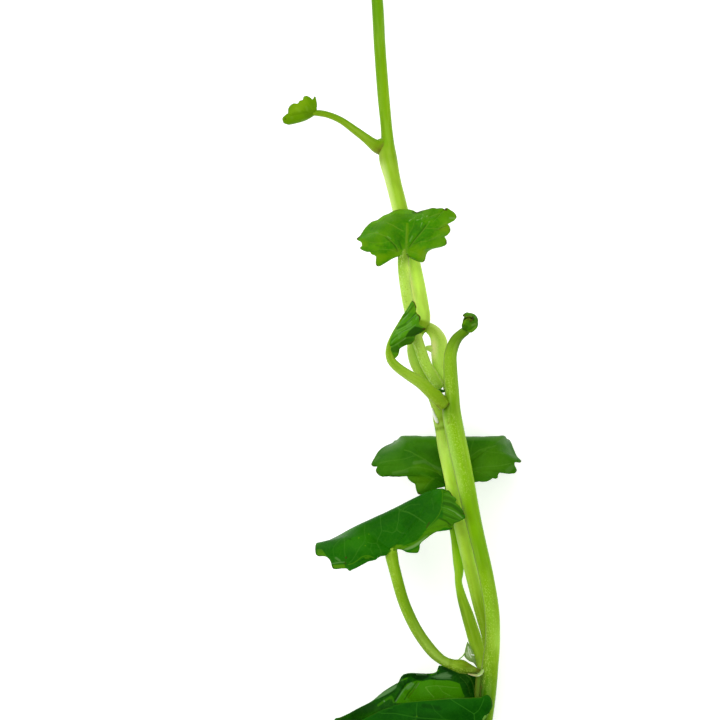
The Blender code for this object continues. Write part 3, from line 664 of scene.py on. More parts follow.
def blade(name, base, ribs, skins, strokes, rows=44, steps=8, thickness=0.3, groove=0.05, puff=0.04,
          crumple=0.1):
    """A leaf blade. A rib is its place on the margin, and after it the place that it bends over, if given.

    The blade is a grid that runs across the ribs and out along them. Veins sink into it by the groove, the
    skin between them bulges by the puff, and crumple is the height of soft, uneven waves.
    """
    first_row = 0.03
    crowding_at_the_margin = 0.35
    wave_scale = 0.28
    calm_foot = 0.25
    wave_at_the_margin = 0.25
    ends = [Vector(rib[:3]) for rib in ribs]
    knots = knots_of(ends)
    bends = [Vector(rib[3:]) for rib in ribs if len(rib) > 3]
    bend_knots = [knot for knot, rib in zip(knots, ribs) if len(rib) > 3]
    base = Vector(base)
    across = steps * (len(ribs) - 1)
    grid = bmesh.new()
    bmesh.ops.create_grid(grid, x_segments=across, y_segments=rows, size=0.5)
    rim_layer = grid.verts.layers.float.new("rim")
    out_layer = grid.verts.layers.float.new("out")
    columns = []
    for column in range(across + 1):
        rib, part = divmod(column, steps)
        at = knots[rib]
        if part:
            at += (knots[rib + 1] - knots[rib]) * part / steps
        columns.append((on_curve(bends, bend_knots, at), on_curve(ends, knots, at)))
    for vertex in grid.verts:
        bend, end = columns[round((vertex.co.x + 0.5) * across)]
        share = vertex.co.y + 0.5
        share *= 1 + crowding_at_the_margin - crowding_at_the_margin * share
        out = first_row + (1 - first_row) * share
        place = on_curve([base, bend, end], [0.0, 0.5, 1.0], out)
        vertex[rim_layer] = (end - place).length
        vertex[out_layer] = out
        vertex.co = place
    grid.normal_update()
    if sum(face.normal.z * face.calc_area() for face in grid.faces) < 0:
        bmesh.ops.reverse_faces(grid, faces=grid.faces)
        grid.normal_update()
    grid.verts.ensure_lookup_table()
    points = np.array([vertex.co for vertex in grid.verts])
    drawn = {}
    for kind in ("vein", "light", "dark", "pale", "brown"):
        lines, areas, drawn[kind] = brush(points, strokes.get(kind, ()))
        for way, values in (("line", lines), ("area", areas)):
            layer = grid.verts.layers.float_vector.new(kind + "_" + way)
            for vertex in grid.verts:
                vertex[layer] = values[vertex.index]
    for vertex in grid.verts:
        vein = drawn["vein"][vertex.index]
        wave = noise.noise(vertex.co * wave_scale + base) * crumple
        wave += puff * (1 - vein) - groove * max(vein, drawn["dark"][vertex.index])
        fade = min(1.0, vertex[out_layer] / calm_foot) * min(1.0, wave_at_the_margin + vertex[rim_layer])
        vertex.co += vertex.normal * (wave * fade)
        vertex.co.z = max(vertex.co.z, thickness / 2)
        vertex.co = (vertex.co - MIDDLE_OF_FOOTPRINT) * MM
    mesh = bpy.data.meshes.new(name)
    grid.to_mesh(mesh)
    grid.free()
    mesh.shade_smooth()
    for skin in skins:
        mesh.materials.append(skin)
    piece = bpy.data.objects.new(name + "_blade", mesh)
    bpy.context.scene.collection.objects.link(piece)
    wall = piece.modifiers.new("Thickness", "SOLIDIFY")
    wall.thickness = thickness * MM
    wall.offset = 0
    wall.material_offset = 1
    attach(piece, "root")
    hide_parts(name)
    return piece


def marked(tree, kind):
    """How strongly the drawn marks of one kind cover the surface."""
    line = tree.nodes.new("ShaderNodeSeparateXYZ")
    feed(tree, line.inputs[0], measured(tree, kind + "_line", "Vector"))
    x, y, line_strength = line.outputs
    off = reckoned(tree, "ADD", times(tree, x, x), times(tree, y, y))
    area = tree.nodes.new("ShaderNodeSeparateXYZ")
    feed(tree, area.inputs[0], measured(tree, kind + "_area", "Vector"))
    depth, area_strength, _ = area.outputs
    on_line = times(tree, between(tree, off, 1.8, 0.0), line_strength)
    return reckoned(tree, "MAXIMUM", on_line, times(tree, between(tree, depth, -1.0, 1.0), area_strength))


def leaf_skin(name, deep, bright, edge, vein, pale, rough=0.42, rim_width=0.5, net=0.05, gloss=0.035,
              outline=0.35, light=(104, 156, 10)):
    """The skin of a leaf: cloudy green, a net of fine veins, the drawn veins, its rim, brown stains and
    painted light, shade and sheen.
    """
    shadow = (0, 24, 0)
    dried_rim = (74, 44, 20)
    dried_spot = (66, 42, 14)
    material = bpy.data.materials.new(name)
    material.use_nodes = True
    tree = material.node_tree
    shader = tree.nodes["Principled BSDF"]
    place = tree.nodes.new("ShaderNodeTexCoord").outputs["Object"]
    from_rim = measured(tree, "rim")
    grain = clouds(tree, place, 2400, 3.0)
    colour = mixed(tree, between(tree, clouds(tree, place, 150, 3.0), 0.36, 0.66), deep, bright)
    colour = laid_over(tree, colour, edge, between(tree, grain, 0.4, 0.75), 0.24)
    cells = tree.nodes.new("ShaderNodeTexVoronoi")
    cells.feature = "DISTANCE_TO_EDGE"
    cells.inputs["Scale"].default_value = 900
    feed(tree, cells.inputs["Vector"], place)
    fine_veins = between(tree, cells.outputs["Distance"], 0.12, 0.0)
    colour = laid_over(tree, colour, vein, fine_veins, net)
    colour = laid_over(tree, colour, edge, between(tree, from_rim, rim_width, 0.0), 0.6)
    drawn_vein = marked(tree, "vein")
    # Painted light, shade and sheen: the light marks are mostly painted light, the dark ones darken towards
    # the shadow colour where creases, hollows and overlaps are shaded, and the pale ones paint sheen and
    # highlights.
    colour = mixed(tree, marked(tree, "light"), colour, light)
    colour = laid_over(tree, colour, mixed(tree, 0.7, deep, shadow), marked(tree, "dark"), 0.9)
    colour = mixed(tree, marked(tree, "pale"), colour, pale)
    colour = laid_over(tree, colour, vein, drawn_vein, 0.8)
    patchy = between(tree, clouds(tree, place, 700), 0.48, 0.6)
    thin_line = times(tree, between(tree, from_rim, 0.16, 0.02), patchy)
    colour = laid_over(tree, colour, dried_rim, thin_line, outline)
    colour = mixed(tree, marked(tree, "brown"), colour, dried_spot)
    feed(tree, shader.inputs["Base Color"], colour)
    feed(tree, shader.inputs["Roughness"], reckoned(tree, "ADD", times(tree, grain, 0.2), rough - 0.1))
    shader.inputs["Specular IOR Level"].default_value = gloss
    sunk = reckoned(tree, "ADD", times(tree, fine_veins, 0.5), drawn_vein)
    raised(tree, shader, reckoned(tree, "SUBTRACT", grain, sunk), 0.02 * MM)
    return material


upper_skins = [
    leaf_skin(
        "upper_leaf_skin", deep=(54, 125, 0), bright=(90, 151, 0), edge=(112, 158, 6), vein=(114, 152, 40),
        pale=(132, 174, 88), outline=0.6, light=(118, 158, 0),
    ),
    leaf_skin(
        "upper_leaf_underside", deep=(96, 150, 50), bright=(118, 170, 62), edge=(120, 168, 54),
        vein=(182, 212, 124), pale=(196, 216, 160), rough=0.6,
    ),
]
upper_leaf = blade(
    "upper_leaf", (7.55, 18.3, 15.4),
    [
        (6.45, 17.55, 15.2, 6.9, 17.9, 15.6), (6.1, 17.85, 15.2), (5, 17.45, 15.2), (4, 16.5, 15.1),
        (3, 15.95, 15, 5.4, 17.7, 15.9), (2.75, 16.25, 15), (2.75, 17.6, 14.9, 4.9, 18.4, 16.2),
        (2, 18, 14.4), (1.75, 18.4, 14.2), (0.9, 18.55, 13.7), (0.1, 19, 13.2, 4.3, 18.9, 16.3),
        (0.4, 19.35, 13.3), (0.3, 20, 13.1, 4.2, 19.6, 16.4), (-0.5, 20.5, 12.2, 4, 20.3, 16.4),
        (0.05, 21, 12.1), (0.9, 22.3, 12, 4.6, 21.5, 16.3), (2, 23.35, 12.3),
        (3, 23.7, 12.6, 5.4, 22.4, 16.2), (4, 24.4, 12.8), (5, 24.8, 13), (5.7, 25.2, 13.2, 6.5, 22.8, 16.2),
        (7, 25.5, 13.2), (8.1, 25.5, 13.2, 7.7, 23, 16.2), (9, 25.3, 13.3), (9.6, 25, 13.4, 8.8, 22.7, 16.1),
        (10.5, 25.25, 13.5), (11.5, 25.5, 13.6), (12.5, 25.75, 13.6, 10.2, 22.6, 16.3), (13.1, 25.65, 13.5),
        (14, 25.7, 13.5), (14.45, 25.45, 13.4, 11.3, 22.3, 16.4), (14.75, 25.75, 13.4), (15.3, 25.45, 13.2),
        (16.05, 24.9, 12.9), (16.3, 24.3, 12.6, 12, 21.8, 16.4), (16.05, 23.9, 12.8), (15.2, 23.5, 13.3),
        (14.8, 23.2, 13.6, 11.6, 21.1, 16.4), (15.2, 22.5, 13.4), (15.25, 21.9, 13.4, 11.7, 20.5, 16.5),
        (14.9, 21.4, 13.7), (14.3, 20.95, 14, 11.2, 20, 16.5), (14.6, 20.35, 13.8),
        (14.6, 19.7, 13.8, 11.2, 19.3, 16.5), (14, 19.4, 14.2), (12.2, 18.95, 14.9),
        (11.4, 18.4, 15.2, 10, 18.5, 16.5), (11.1, 17.8, 15.2), (10.9, 16.95, 15.2),
        (10.6, 16.7, 15.2, 9.4, 17.4, 16.4), (10, 16.8, 15.3), (9.2, 17.1, 15.4),
        (8.35, 17.6, 15.3, 8.1, 18, 15.7),
    ],
    upper_skins,
    # Painted light and shade: the light marks are lit lobes, the pale ones small painted highlights, and the
    # dark ones painted shade along the sunken veins and over the upper left of the blade.
    {
        "vein": [
            (0.2, 0.62, (6.9, 17.5), (7.4, 18.4), (7.6, 19.3), (7.68, 20.8), (7.76, 22.6), (7.94, 22.6),
                (8, 20.8), (8.1, 19.4), (8.2, 18.4), (8.5, 17.5), (6.9, 17.5)),
            (0.08, 0.4, (7.55, 18.6), (7.8, 20.4), (7.85, 22.9)),
            (0.09, 0.5, (6.5, 18.4), (6.05, 19.4), (5.3, 20.2), (4.5, 20.9), (3.6, 21.3), (2.4, 21.5),
                (1.2, 21.3)),
            (0.08, 0.4, (6.2, 18.4), (5.2, 18.75), (4, 18.85), (3, 18.9)),
            (0.09, 0.55, (7.3, 21.9), (6.45, 22.3), (5.65, 22.8), (4.7, 23.2)),
            (0.09, 0.5, (8.3, 18.9), (9, 19.9), (9.75, 20.8), (10.7, 21.9), (11.4, 22.8), (11.9, 23.5)),
            (0.08, 0.4, (8.7, 19.2), (9.9, 19.9), (11.4, 20.2), (13.4, 21.3)),
            (0.08, 0.4, (11.4, 22.3), (13.4, 22.3), (14.6, 22.5)),
            (0.08, 0.5, (11.2, 24), (12.8, 24.6), (14.2, 25.1)),
            (0.08, 0.3, (8.6, 18.4), (9.8, 18), (10.6, 17.4)),
            (0.07, 0.3, (5.3, 20.2), (4, 19.9), (1.8, 20)),
            (0.07, 0.3, (8.2, 21.2), (8.9, 22.4), (9.3, 23.6)),
        ],
        "light": [
            (0.5, 0.6, (13.3, 22.3), (14.5, 23.3), (15.2, 22.4), (14.8, 21.6), (13.6, 21.8), (13.3, 22.3)),
            (0.5, 0.55, (9.6, 18.6), (10.9, 19.1), (11.2, 18.2), (10.7, 17.1), (9.9, 17.4), (9.6, 18.6)),
            (0.4, 0.45, (2.9, 17.9), (4.2, 18.1), (5.2, 17.7), (3.8, 16.9), (3.1, 16.4), (2.9, 17.9)),
            (0.4, 0.35, (0.2, 20.4), (1.6, 20.2), (1.4, 19.2), (0.4, 19.2), (0.2, 20.4)),
            (0.6, 0.25, (5.6, 18.4), (6.2, 18.3), (5, 17.9)), (0.6, 0.25, (9, 18.6), (9.8, 18.9)),
            (0.25, 0.35, (7.9, 20), (8, 21.6), (8, 23)),
        ],
        "pale": [
            (0.14, 0.3, (8.5, 20.2), (8.9, 21)), (0.1, 0.3, (4.7, 20.95), (5.2, 20.6)),
            (0.08, 0.3, (2.8, 21.6), (3.2, 21.6)), (0.07, 0.7, (8.3, 23.5), (8.65, 23.75)),
            (0.07, 0.7, (9.65, 23.6), (9.95, 23.65)), (0.08, 0.65, (10.4, 23.75), (10.6, 24)),
            (0.07, 0.6, (10.4, 22.9), (10.55, 23.2)), (0.07, 0.7, (11.25, 24.25), (11.45, 24.35)),
            (0.06, 0.6, (10.65, 24.5), (10.8, 24.45)), (0.06, 0.5, (10.3, 22.55)),
            (0.06, 0.5, (9.1, 23.9), (9.25, 24)), (0.06, 0.5, (11.6, 23.3), (11.75, 23.45)),
            (0.16, 0.4, (15.2, 24.1), (16, 24.1)),
        ],
        "dark": [
            (0.2, 0.55, (6.3, 18.6), (5.8, 19.45), (5.1, 20.2), (4.3, 20.85)),
            (0.2, 0.5, (6.95, 18.9), (6.7, 19.6), (6.5, 20.2)),
            (0.35, 0.2, (6.3, 20), (5.8, 20.9), (5, 21.6)), (0.3, 0.2, (8.4, 20.8), (8.9, 22), (9.4, 23)),
            (0.16, 0.3, (9.4, 19.7), (10.6, 20.4), (12.2, 21.2)), (0.16, 0.3, (3, 19.4), (4.6, 19.3)),
            (0.16, 0.6, (8.5, 19.3), (9.1, 20.2), (9.9, 21.2), (10.8, 22.3), (11.1, 22.8)),
            (0.3, 0.55, (9, 24.9), (9.7, 24.9), (10.4, 25)), (0.6, 0.3, (6, 21.4), (6.8, 20.6)),
            (1.1, 0.3, (2.6, 22.8), (4, 23.5), (5.6, 24.2), (7.6, 24.4)), (1, 0.26, (4.2, 22.2), (6.4, 23)),
            (0.8, 0.24, (2.4, 20.4), (3.8, 20.9)), (0.9, 0.18, (11.6, 24.9), (13.4, 24.9), (15.2, 24.6)),
            (0.5, 0.3, (9.4, 22.6), (9.9, 22.2)),
        ],
        "brown": [
            (0.12, 0.8, (-0.35, 20.5), (0.25, 21.3)), (0.08, 0.5, (0.9, 22.4), (1.7, 23.1)),
            (0.12, 0.6, (2.9, 23.7), (3.4, 23.9)), (0.07, 0.5, (3.9, 24.4), (5.2, 24.95), (7, 25.5)),
            (0.18, 0.9, (9.4, 25.1), (9.9, 25)), (0.08, 0.6, (10, 25.1), (12.5, 25.75)),
            (0.18, 0.95, (14.25, 25.5), (14.6, 25.5)), (0.12, 0.5, (16.25, 24.2), (16.15, 24.6)),
            (0.14, 0.6, (15.15, 22.1)), (0.14, 0.6, (14.55, 19.6), (14.5, 20.1)), (0.18, 0.85, (10.8, 16.9)),
            (0.15, 0.8, (2.95, 16.1)), (0.14, 0.8, (0.2, 18.95)),
        ],
    },
)

# Back leaf. A wide, dark, full-grown leaf behind the two stems. It comes towards the viewer, rounds over a
# straight front and hangs down to the floor behind, which is where the middle of the shoot rests.
dark_skins = [
    leaf_skin(
        "full_grown_leaf_skin", deep=(38, 98, 0), bright=(56, 115, 6), edge=(66, 118, 14),
        vein=(84, 136, 34), pale=(88, 130, 58), rough=0.4,
    ),
    leaf_skin(
        "full_grown_leaf_underside", deep=(82, 134, 46), bright=(106, 158, 60), edge=(108, 158, 56),
        vein=(176, 208, 124), pale=(170, 196, 150), rough=0.6,
    ),
]
back_leaf = blade(
    "back_leaf", (14.9, -21.3, 12.4),
    [
        (13.4, -21.2, 12.9, 14, -21, 12.7), (12.8, -21.5, 12.9), (12.45, -22, 13),
        (10, -22.85, 13.4, 12.5, -21.75, 13.1), (9.5, -21.9, 13.4), (9.3, -21.05, 13.2, 12.1, -20.8, 13.4),
        (8.6, -20.6, 13.3), (8.2, -20.2, 13.3), (7.9, -19.65, 13.3, 11.5, -20, 13.8), (6.4, -19.65, 12.9),
        (5, -19.75, 12.4), (4.25, -19.5, 12), (3.7, -19.75, 11.8, 9.6, -19.1, 14), (3.15, -19.5, 11.6),
        (2.75, -18.9, 11.3), (2.95, -18.1, 11, 9, -18.3, 14), (2, -17.95, 10.2, 8.6, -17.6, 13.9),
        (2.6, -16.6, 9.2), (3.2, -15.65, 8.4, 8.6, -16.1, 13.5), (4.1, -14.9, 7.4),
        (5.5, -14.25, 6.2, 8.4, -14.4, 13.2), (6, -13.9, 3.5), (6.4, -14.3, 1, 8.2, -13.4, 12.7),
        (8, -14.9, 0.3), (9.2, -14.7, 1), (10.6, -15.2, 0.3, 11.2, -13.4, 12.9), (12, -14.8, 1),
        (13.4, -15.3, 0.3), (14.6, -14.9, 0.9), (16, -15.3, 0.3, 15.4, -13.4, 12.8), (17.4, -14.9, 1),
        (18.8, -15.2, 0.3), (20.2, -14.8, 1, 19.2, -13.4, 12.9), (21.6, -15.2, 0.3), (23, -14.8, 1),
        (24.2, -14.8, 0.5), (24.6, -13.9, 1.2, 23.3, -13.45, 12.6), (25.2, -13.65, 4),
        (25.6, -14, 6.2, 23, -14.1, 12.9), (26.2, -15.5, 7.7, 22.2, -15, 13.1), (26.65, -16.5, 8.8),
        (27.4, -17.35, 9.6, 21.6, -15.9, 13.4), (26.3, -17.45, 10.6), (26.2, -17.8, 10.8, 21.2, -17.4, 13.7),
        (26.6, -18.8, 10.9), (26.3, -19.25, 11.3, 20.8, -18.3, 13.8), (25, -19.2, 11.9), (24, -19.05, 12.4),
        (23.5, -19.35, 12.6, 19.6, -18.9, 13.8), (23.3, -20.05, 12.7), (22.65, -20, 12.8),
        (22.2, -20.3, 12.9, 19.1, -19.5, 13.6), (21.5, -20.65, 13), (20.3, -20.65, 13.2, 17.8, -20.3, 13.2),
        (18.5, -20.9, 13), (16.8, -21.4, 12.8, 15.9, -21.1, 12.7),
    ],
    dark_skins,
    # Painted light and shade: the light marks are lit parts of the blade, the pale ones painted sheen along
    # its rounded edges and ridge, and the dark ones painted shade.
    {
        "vein": [
            (0.12, 0.5, (14.6, -19.2), (13.8, -18.7), (12.2, -17.7), (10.9, -16.9), (9.6, -16.2),
                (8.7, -15.6), (7.6, -15.3)),
            (0.12, 0.4, (14, -19.6), (11.8, -18.6), (10, -18.2), (8.7, -18.2), (7.4, -18.7), (5.6, -19.1)),
            (0.09, 0.35, (9.6, -16.2), (7.4, -16.9), (5, -17.2), (3.4, -17.6)),
            (0.09, 0.5, (13.2, -20), (12.2, -20.2), (11.6, -20.9), (10.9, -21.8)),
            (0.09, 0.35, (9.9, -20), (9.7, -21)), (0.12, 0.4, (14.6, -19), (14.4, -16), (14.2, -13.4)),
            (0.11, 0.5, (17, -18.4), (18.7, -16.4), (20.2, -15.3), (23, -14.5)),
            (0.1, 0.45, (17.2, -19.6), (19, -18.6), (21, -18.1), (23.6, -18), (25.6, -17.6)),
            (0.09, 0.3, (20.2, -15.3), (22.4, -15.7), (24.8, -16)),
            (0.09, 0.3, (18.7, -16.4), (18.9, -14.8), (19.4, -13.4)),
            (0.09, 0.3, (19, -18.6), (20.6, -19.2), (22, -19.8)),
        ],
        "light": [
            (0.5, 0.35, (8.4, -20), (10.4, -19.6), (12.4, -20.2), (11, -21.8), (9.9, -22.2), (9.4, -21.2),
                (8.4, -20)),
            (1, 0.15, (17.6, -19.9), (19, -15), (24, -14.4), (25.8, -17), (25.6, -18.8), (22.4, -19.6),
                (17.6, -19.9)),
            (0.6, 0.2, (9.4, -17.2), (12, -18.2), (13.6, -19.2), (11, -19), (8.8, -18.6), (9.4, -17.2)),
            (0.1, 0.6, (8.2, -20.3), (8.8, -20.8), (9.3, -21.1), (9.5, -22)),
            (0.3, 0.25, (12.4, -18.4), (13.6, -19.2)),
        ],
        "pale": [
            (0.45, 0.35, (3.3, -16.2), (4.2, -15.2), (5.5, -14.6), (6.2, -13.4), (7.4, -13.1), (10, -13),
                (12.4, -13), (12.4, -13.3), (9.6, -13.5), (8, -13.9), (7, -14.8), (5.6, -15.4), (4.2, -15.9),
                (3.3, -16.2)),
            (0.3, 0.4, (9.2, -17.5), (10.9, -17.2), (12.2, -17.9), (13.6, -18.5)),
            (0.3, 0.3, (5.8, -19.2), (7, -19), (8, -18.9)), (0.3, 0.3, (2.6, -17.2), (3.2, -16.6)),
            (0.6, 0.4, (18.6, -13.2), (21, -13.1), (23.4, -13.3), (24.8, -14)),
            (0.5, 0.3, (25.6, -15.4), (26.3, -16.6)), (0.4, 0.3, (25.8, -18.2), (25, -18.9)),
        ],
        "dark": [
            (0.5, 0.28, (10.4, -15.4), (12.8, -14.8), (13.4, -16), (13.7, -17.6), (12.4, -17),
                (10.4, -15.4)),
            (0.4, 0.1, (13, -19.6), (13.8, -20.6)), (0.12, 0.6, (4.5, -19.6), (5.6, -19.75), (7.8, -19.7)),
            (0.5, 0.25, (18.2, -17), (18.8, -19.4)),
        ],
        "brown": [
            (0.14, 0.6, (2.05, -17.9)), (0.2, 0.5, (3, -19.1)), (0.16, 0.7, (27.35, -17.35)),
            (0.18, 0.8, (10, -22.65)), (0.14, 0.5, (26.5, -19)), (0.1, 0.5, (22.3, -20.25)),
        ],
    },
    groove=0.02, puff=0.02,
)

# Left leaf. The largest dark leaf, on the tallest stalk. Its far side hangs down out of sight, its right
# lobes lie folded over the two stems, and a strip of its lower edge turns up and shows a paler green, partly
# its own and partly painted light.
left_skins = [
    leaf_skin(
        "left_leaf_skin", deep=(24, 96, 0), bright=(37, 111, 0), edge=(52, 116, 4), vein=(76, 134, 38),
        pale=(120, 160, 90), light=(92, 146, 10), rough=0.4,
    ),
    dark_skins[1],
]
left_leaf = blade(
    "left_leaf", (5.5, -32.3, 17.25),
    [
        (4.3, -33.12, 17.2, 4.9, -32.7, 17.25), (3, -33.4, 17.4), (2.3, -33.95, 17.5, 3.6, -32.95, 17.4),
        (1.2, -34.2, 17.6), (0.2, -34.7, 17.7, 2.8, -32.9, 17.8), (-1.2, -35.5, 17.7),
        (-1.8, -35.75, 17.6, 1.8, -32.9, 18), (-2.2, -35.4, 17.4), (-3, -35.35, 17.1, 0.9, -32.5, 18.1),
        (-4.5, -35.4, 16.5, 0.2, -32.2, 18.1), (-4.9, -34.3, 16.1), (-5.3, -33.7, 15.7, -0.4, -31.6, 17.9),
        (-6, -33.3, 15.2), (-7.3, -33.2, 14.2, -0.6, -31, 17.7), (-7.5, -32.8, 13.8),
        (-7.4, -31.3, 12.2, -0.8, -30.3, 17.3), (-6.2, -31.2, 9.8), (-4.6, -30.6, 7.4, -0.2, -28.7, 15.8),
        (-3, -30.4, 7.4), (-1, -29.9, 6.6), (1, -29, 7, 3.2, -26.75, 16.2), (3, -28.7, 6.7), (5, -27.7, 7.3),
        (6.6, -27.2, 7.2, 6.6, -25.05, 16.9), (8.2, -26.4, 8.4), (9.6, -25.7, 8.8),
        (11, -24.8, 10.6, 9.5, -23.55, 17.9), (12.4, -24, 13, 11.2, -22.75, 18.4),
        (13.8, -23.05, 15.6, 12.6, -22.62, 19), (14.9, -22.2, 18.2, 12.9, -23.2, 19.6), (15.3, -22.4, 19.4),
        (15.65, -22.9, 19.6, 11, -26.2, 19.5), (16.35, -23.6, 19.8), (16.2, -24, 19.9, 11.2, -26.8, 19.6),
        (17, -24.9, 20.1), (17.6, -25.9, 20.2, 11.6, -27.8, 19.7), (17.8, -26.7, 20, 11.4, -28.4, 19.7),
        (17.1, -27.1, 19.9), (16.3, -27.4, 19.7), (15.75, -27.9, 19.5, 10.8, -29, 19.5),
        (15.55, -28.55, 19.2, 10.3, -29.5, 19.4), (15, -28.4, 19.2), (14, -28.4, 19.1, 9.8, -29.9, 19.2),
        (13, -29, 19), (12, -29.6, 18.9, 9.2, -30.4, 19), (11, -30.4, 18.7),
        (10.2, -31.2, 18.6, 7.9, -31.2, 18.4), (10.1, -32, 18.3), (9.8, -32.6, 18),
        (9, -32.7, 17.9, 7.2, -31.7, 17.9), (8.2, -32.6, 17.8), (7.4, -32.15, 17.6, 6.6, -31.9, 17.5),
        (6.6, -31.9, 17.5, 6, -32.05, 17.4),
    ],
    left_skins,
    # Painted light and shade: the light marks are lit lobes and the turned-up strip, which is partly its own
    # paler underside; the pale ones are painted sheen, and the dark ones painted shade on the folded lobes
    # and along the upper crest.
    {
        "vein": [
            (0.11, 0.45, (6.1, -24.9), (7.2, -25.6), (8.2, -25.8), (9.2, -26.3), (10.2, -27), (11.1, -27.6)),
            (0.09, 0.33, (6.7, -25.5), (6.6, -26.6), (6.5, -27.5), (6.2, -28.5), (6.5, -29), (7.1, -29.3),
                (7.9, -29.4)),
            (0.09, 0.33, (6.2, -28.9), (5.5, -29.3), (4.6, -29), (3.7, -28.95)),
            (0.09, 0.3, (3.5, -26.6), (3.55, -27.9), (3.7, -28.9), (3.4, -29.7), (3, -30.4), (2.8, -31.1),
                (3.4, -32.1), (3.6, -32.8)),
            (0.08, 0.27, (2.8, -31.1), (1.95, -31.2), (1.2, -30.9)),
            (0.08, 0.24, (1.95, -31.2), (1.75, -32.1), (2.1, -32.8)),
            (0.09, 0.27, (0.9, -28.1), (0.77, -29.2), (0.87, -30.35), (0.57, -31.1), (-0.1, -31.9),
                (-0.6, -32.8), (-1.2, -33.8), (-1.8, -34.4)),
            (0.09, 0.27, (-2.35, -29.7), (-2.55, -30.4), (-2.5, -31.3), (-2.55, -32.4), (-2.35, -33.5)),
            (0.08, 0.21, (-3.1, -30.4), (-3.9, -31.1), (-4.4, -31.8), (-4.5, -32.6), (-4.1, -34.2)),
            (0.08, 0.18, (12.2, -23.4), (12.45, -24.6), (12.35, -25.4)),
            (0.08, 0.18, (6.7, -25.5), (8.6, -24.6), (10.4, -24.4)),
            (0.09, 0.9, (14, -24.95), (14.85, -25.15), (15.9, -25.6), (16.9, -26.2), (17.5, -26.8)),
            (0.07, 0.6, (14.1, -25.6), (15.4, -26.1), (16.9, -26.9)),
            (0.07, 0.5, (14.6, -26.6), (15.8, -27), (17.2, -27.3)),
            (0.08, 0.7, (14.1, -22.7), (14.85, -22.9), (16.1, -23.35)),
            (0.07, 0.5, (14.1, -23.8), (15.2, -24), (16.2, -24.5)),
        ],
        "light": [
            (0.12, 0.5, (16.6, -27.6), (15.5, -28.4), (14.2, -28.3), (12.5, -29.3), (10.6, -30.7),
                (9.4, -31.6), (8, -32.1), (7, -32), (8.7, -31.1), (9.9, -30.4), (11.4, -28.7), (12.9, -27.2),
                (13.6, -26.7), (14.4, -27.1), (16.6, -27.6)),
            (0.08, 0.42, (13.85, -22), (13.92, -23), (13.92, -24.1), (13.78, -25.2), (13.4, -26.2),
                (12.8, -27), (12.2, -27.7), (11.3, -28.7), (10.6, -29.6), (9.8, -30.4), (8.7, -31),
                (7.5, -31.4), (6.4, -31.6)),
            (0.16, 0.75, (4.7, -32.8), (5.3, -31.9), (6.2, -31.3), (7.6, -31.4), (8.4, -31.5), (7.4, -32),
                (6.2, -32.2), (4.7, -32.8)),
            (0.12, 0.35, (14.2, -22.3), (15.4, -23), (16.2, -23.6)),
            (0.12, 0.4, (14.2, -25.3), (15.8, -26), (17.2, -27)),
            (0.2, 0.28, (14.1, -22.5), (15, -22.4), (16.2, -23.7), (17.5, -26), (17.2, -27.1), (15.5, -28.3),
                (14, -27), (14.1, -24.5), (14.1, -22.5)),
            (0.1, 0.5, (-7.2, -32.2), (-6.4, -32.2), (-5.9, -32.9), (-5.1, -34), (-5.6, -33.6),
                (-7.2, -33.1), (-7.2, -32.2)),
            (0.1, 0.6, (-4.5, -34.8), (-2.6, -34.6), (-2.4, -35.3), (-4.4, -35.3), (-4.5, -34.8)),
            (0.08, 0.4, (-2, -34.7), (-1.2, -34.5), (-0.4, -33.95), (0.3, -33.35), (0.9, -33.15),
                (1.6, -33.15), (2.3, -33.45)),
            (0.12, 0.5, (1.5, -29.6)), (0.14, 0.45, (-0.2, -30.25)), (0.14, 0.45, (0.9, -31.5)),
            (0.14, 0.5, (0.9, -33.55), (1.4, -33.55)), (0.3, 0.25, (9.8, -32), (9, -32.4)),
        ],
        "pale": [
            (0.1, 0.55, (14.9, -25.2), (16, -25.7), (17, -26.4)),
            (0.12, 0.65, (7.4, -32), (8.3, -31.6), (9.2, -31.2), (10, -30.65), (10.9, -29.9), (11.4, -29.6),
                (10.5, -30.7), (10, -31.2), (9, -31.8), (8, -32.15), (7.4, -32)),
            (0.08, 0.6, (16.3, -26), (17.3, -26.7)), (0.2, 0.3, (-4, -33.6), (-3.4, -34)),
            (0.1, 0.35, (-4.6, -34.55), (-3.4, -34.35), (-2.6, -34.25)),
        ],
        "dark": [
            (0.32, 0.6, (14.3, -24.3), (15.6, -24.6), (16.6, -25.3), (17.3, -25.9)),
            (0.25, 0.4, (14.3, -23.3), (15.2, -23.5), (16, -24)),
            (0.18, 0.4, (14, -26), (15.4, -26.6), (16.9, -27.25)),
            (0.14, 0.7, (13.5, -26.8), (14.5, -27.2), (15.4, -27.9)), (0.1, 0.5, (14.9, -28), (15.4, -28.4)),
            (0.5, 0.3, (12.6, -24.4), (13.4, -25.2), (12.6, -26.8)),
            (1.3, 0.3, (-6.6, -31.4), (-3, -30), (1, -28.2), (5, -26.2), (8, -24.8), (11.6, -23.4)),
            (0.9, 0.15, (-6.8, -31.6), (-5, -31.2)), (0.7, 0.35, (11.4, -25.3), (12.4, -25.8)),
            (1.2, 0.25, (9.6, -26.8), (12, -27)), (0.9, 0.3, (8, -27.6), (10, -28.6), (9, -29.8)),
            (0.12, 0.5, (-1.95, -30.25), (-1.5, -30.5)),
            (0.12, 0.5, (-0.2, -34.2), (0.6, -33.7), (1.8, -33.6)),
        ],
        "brown": [
            (0.16, 0.9, (15.6, -22.9)), (0.16, 0.9, (17.65, -26)), (0.14, 0.9, (15.55, -28.5)),
            (0.12, 0.5, (11.8, -27.5), (11.3, -28.4)), (0.18, 0.7, (-2.3, -33.5)),
            (0.2, 0.4, (-2.45, -34.45)), (0.12, 0.6, (-4.45, -35.2)), (0.1, 0.7, (-7.4, -31.8)),
            (0.1, 0.7, (-7.35, -33.1)), (0.12, 0.6, (9.9, -32.5)), (0.12, 0.5, (9, -32.65)),
            (0.07, 0.5, (15, -22.2), (15.6, -22.9)),
        ],
    },
    groove=0.015, puff=0.015,
)
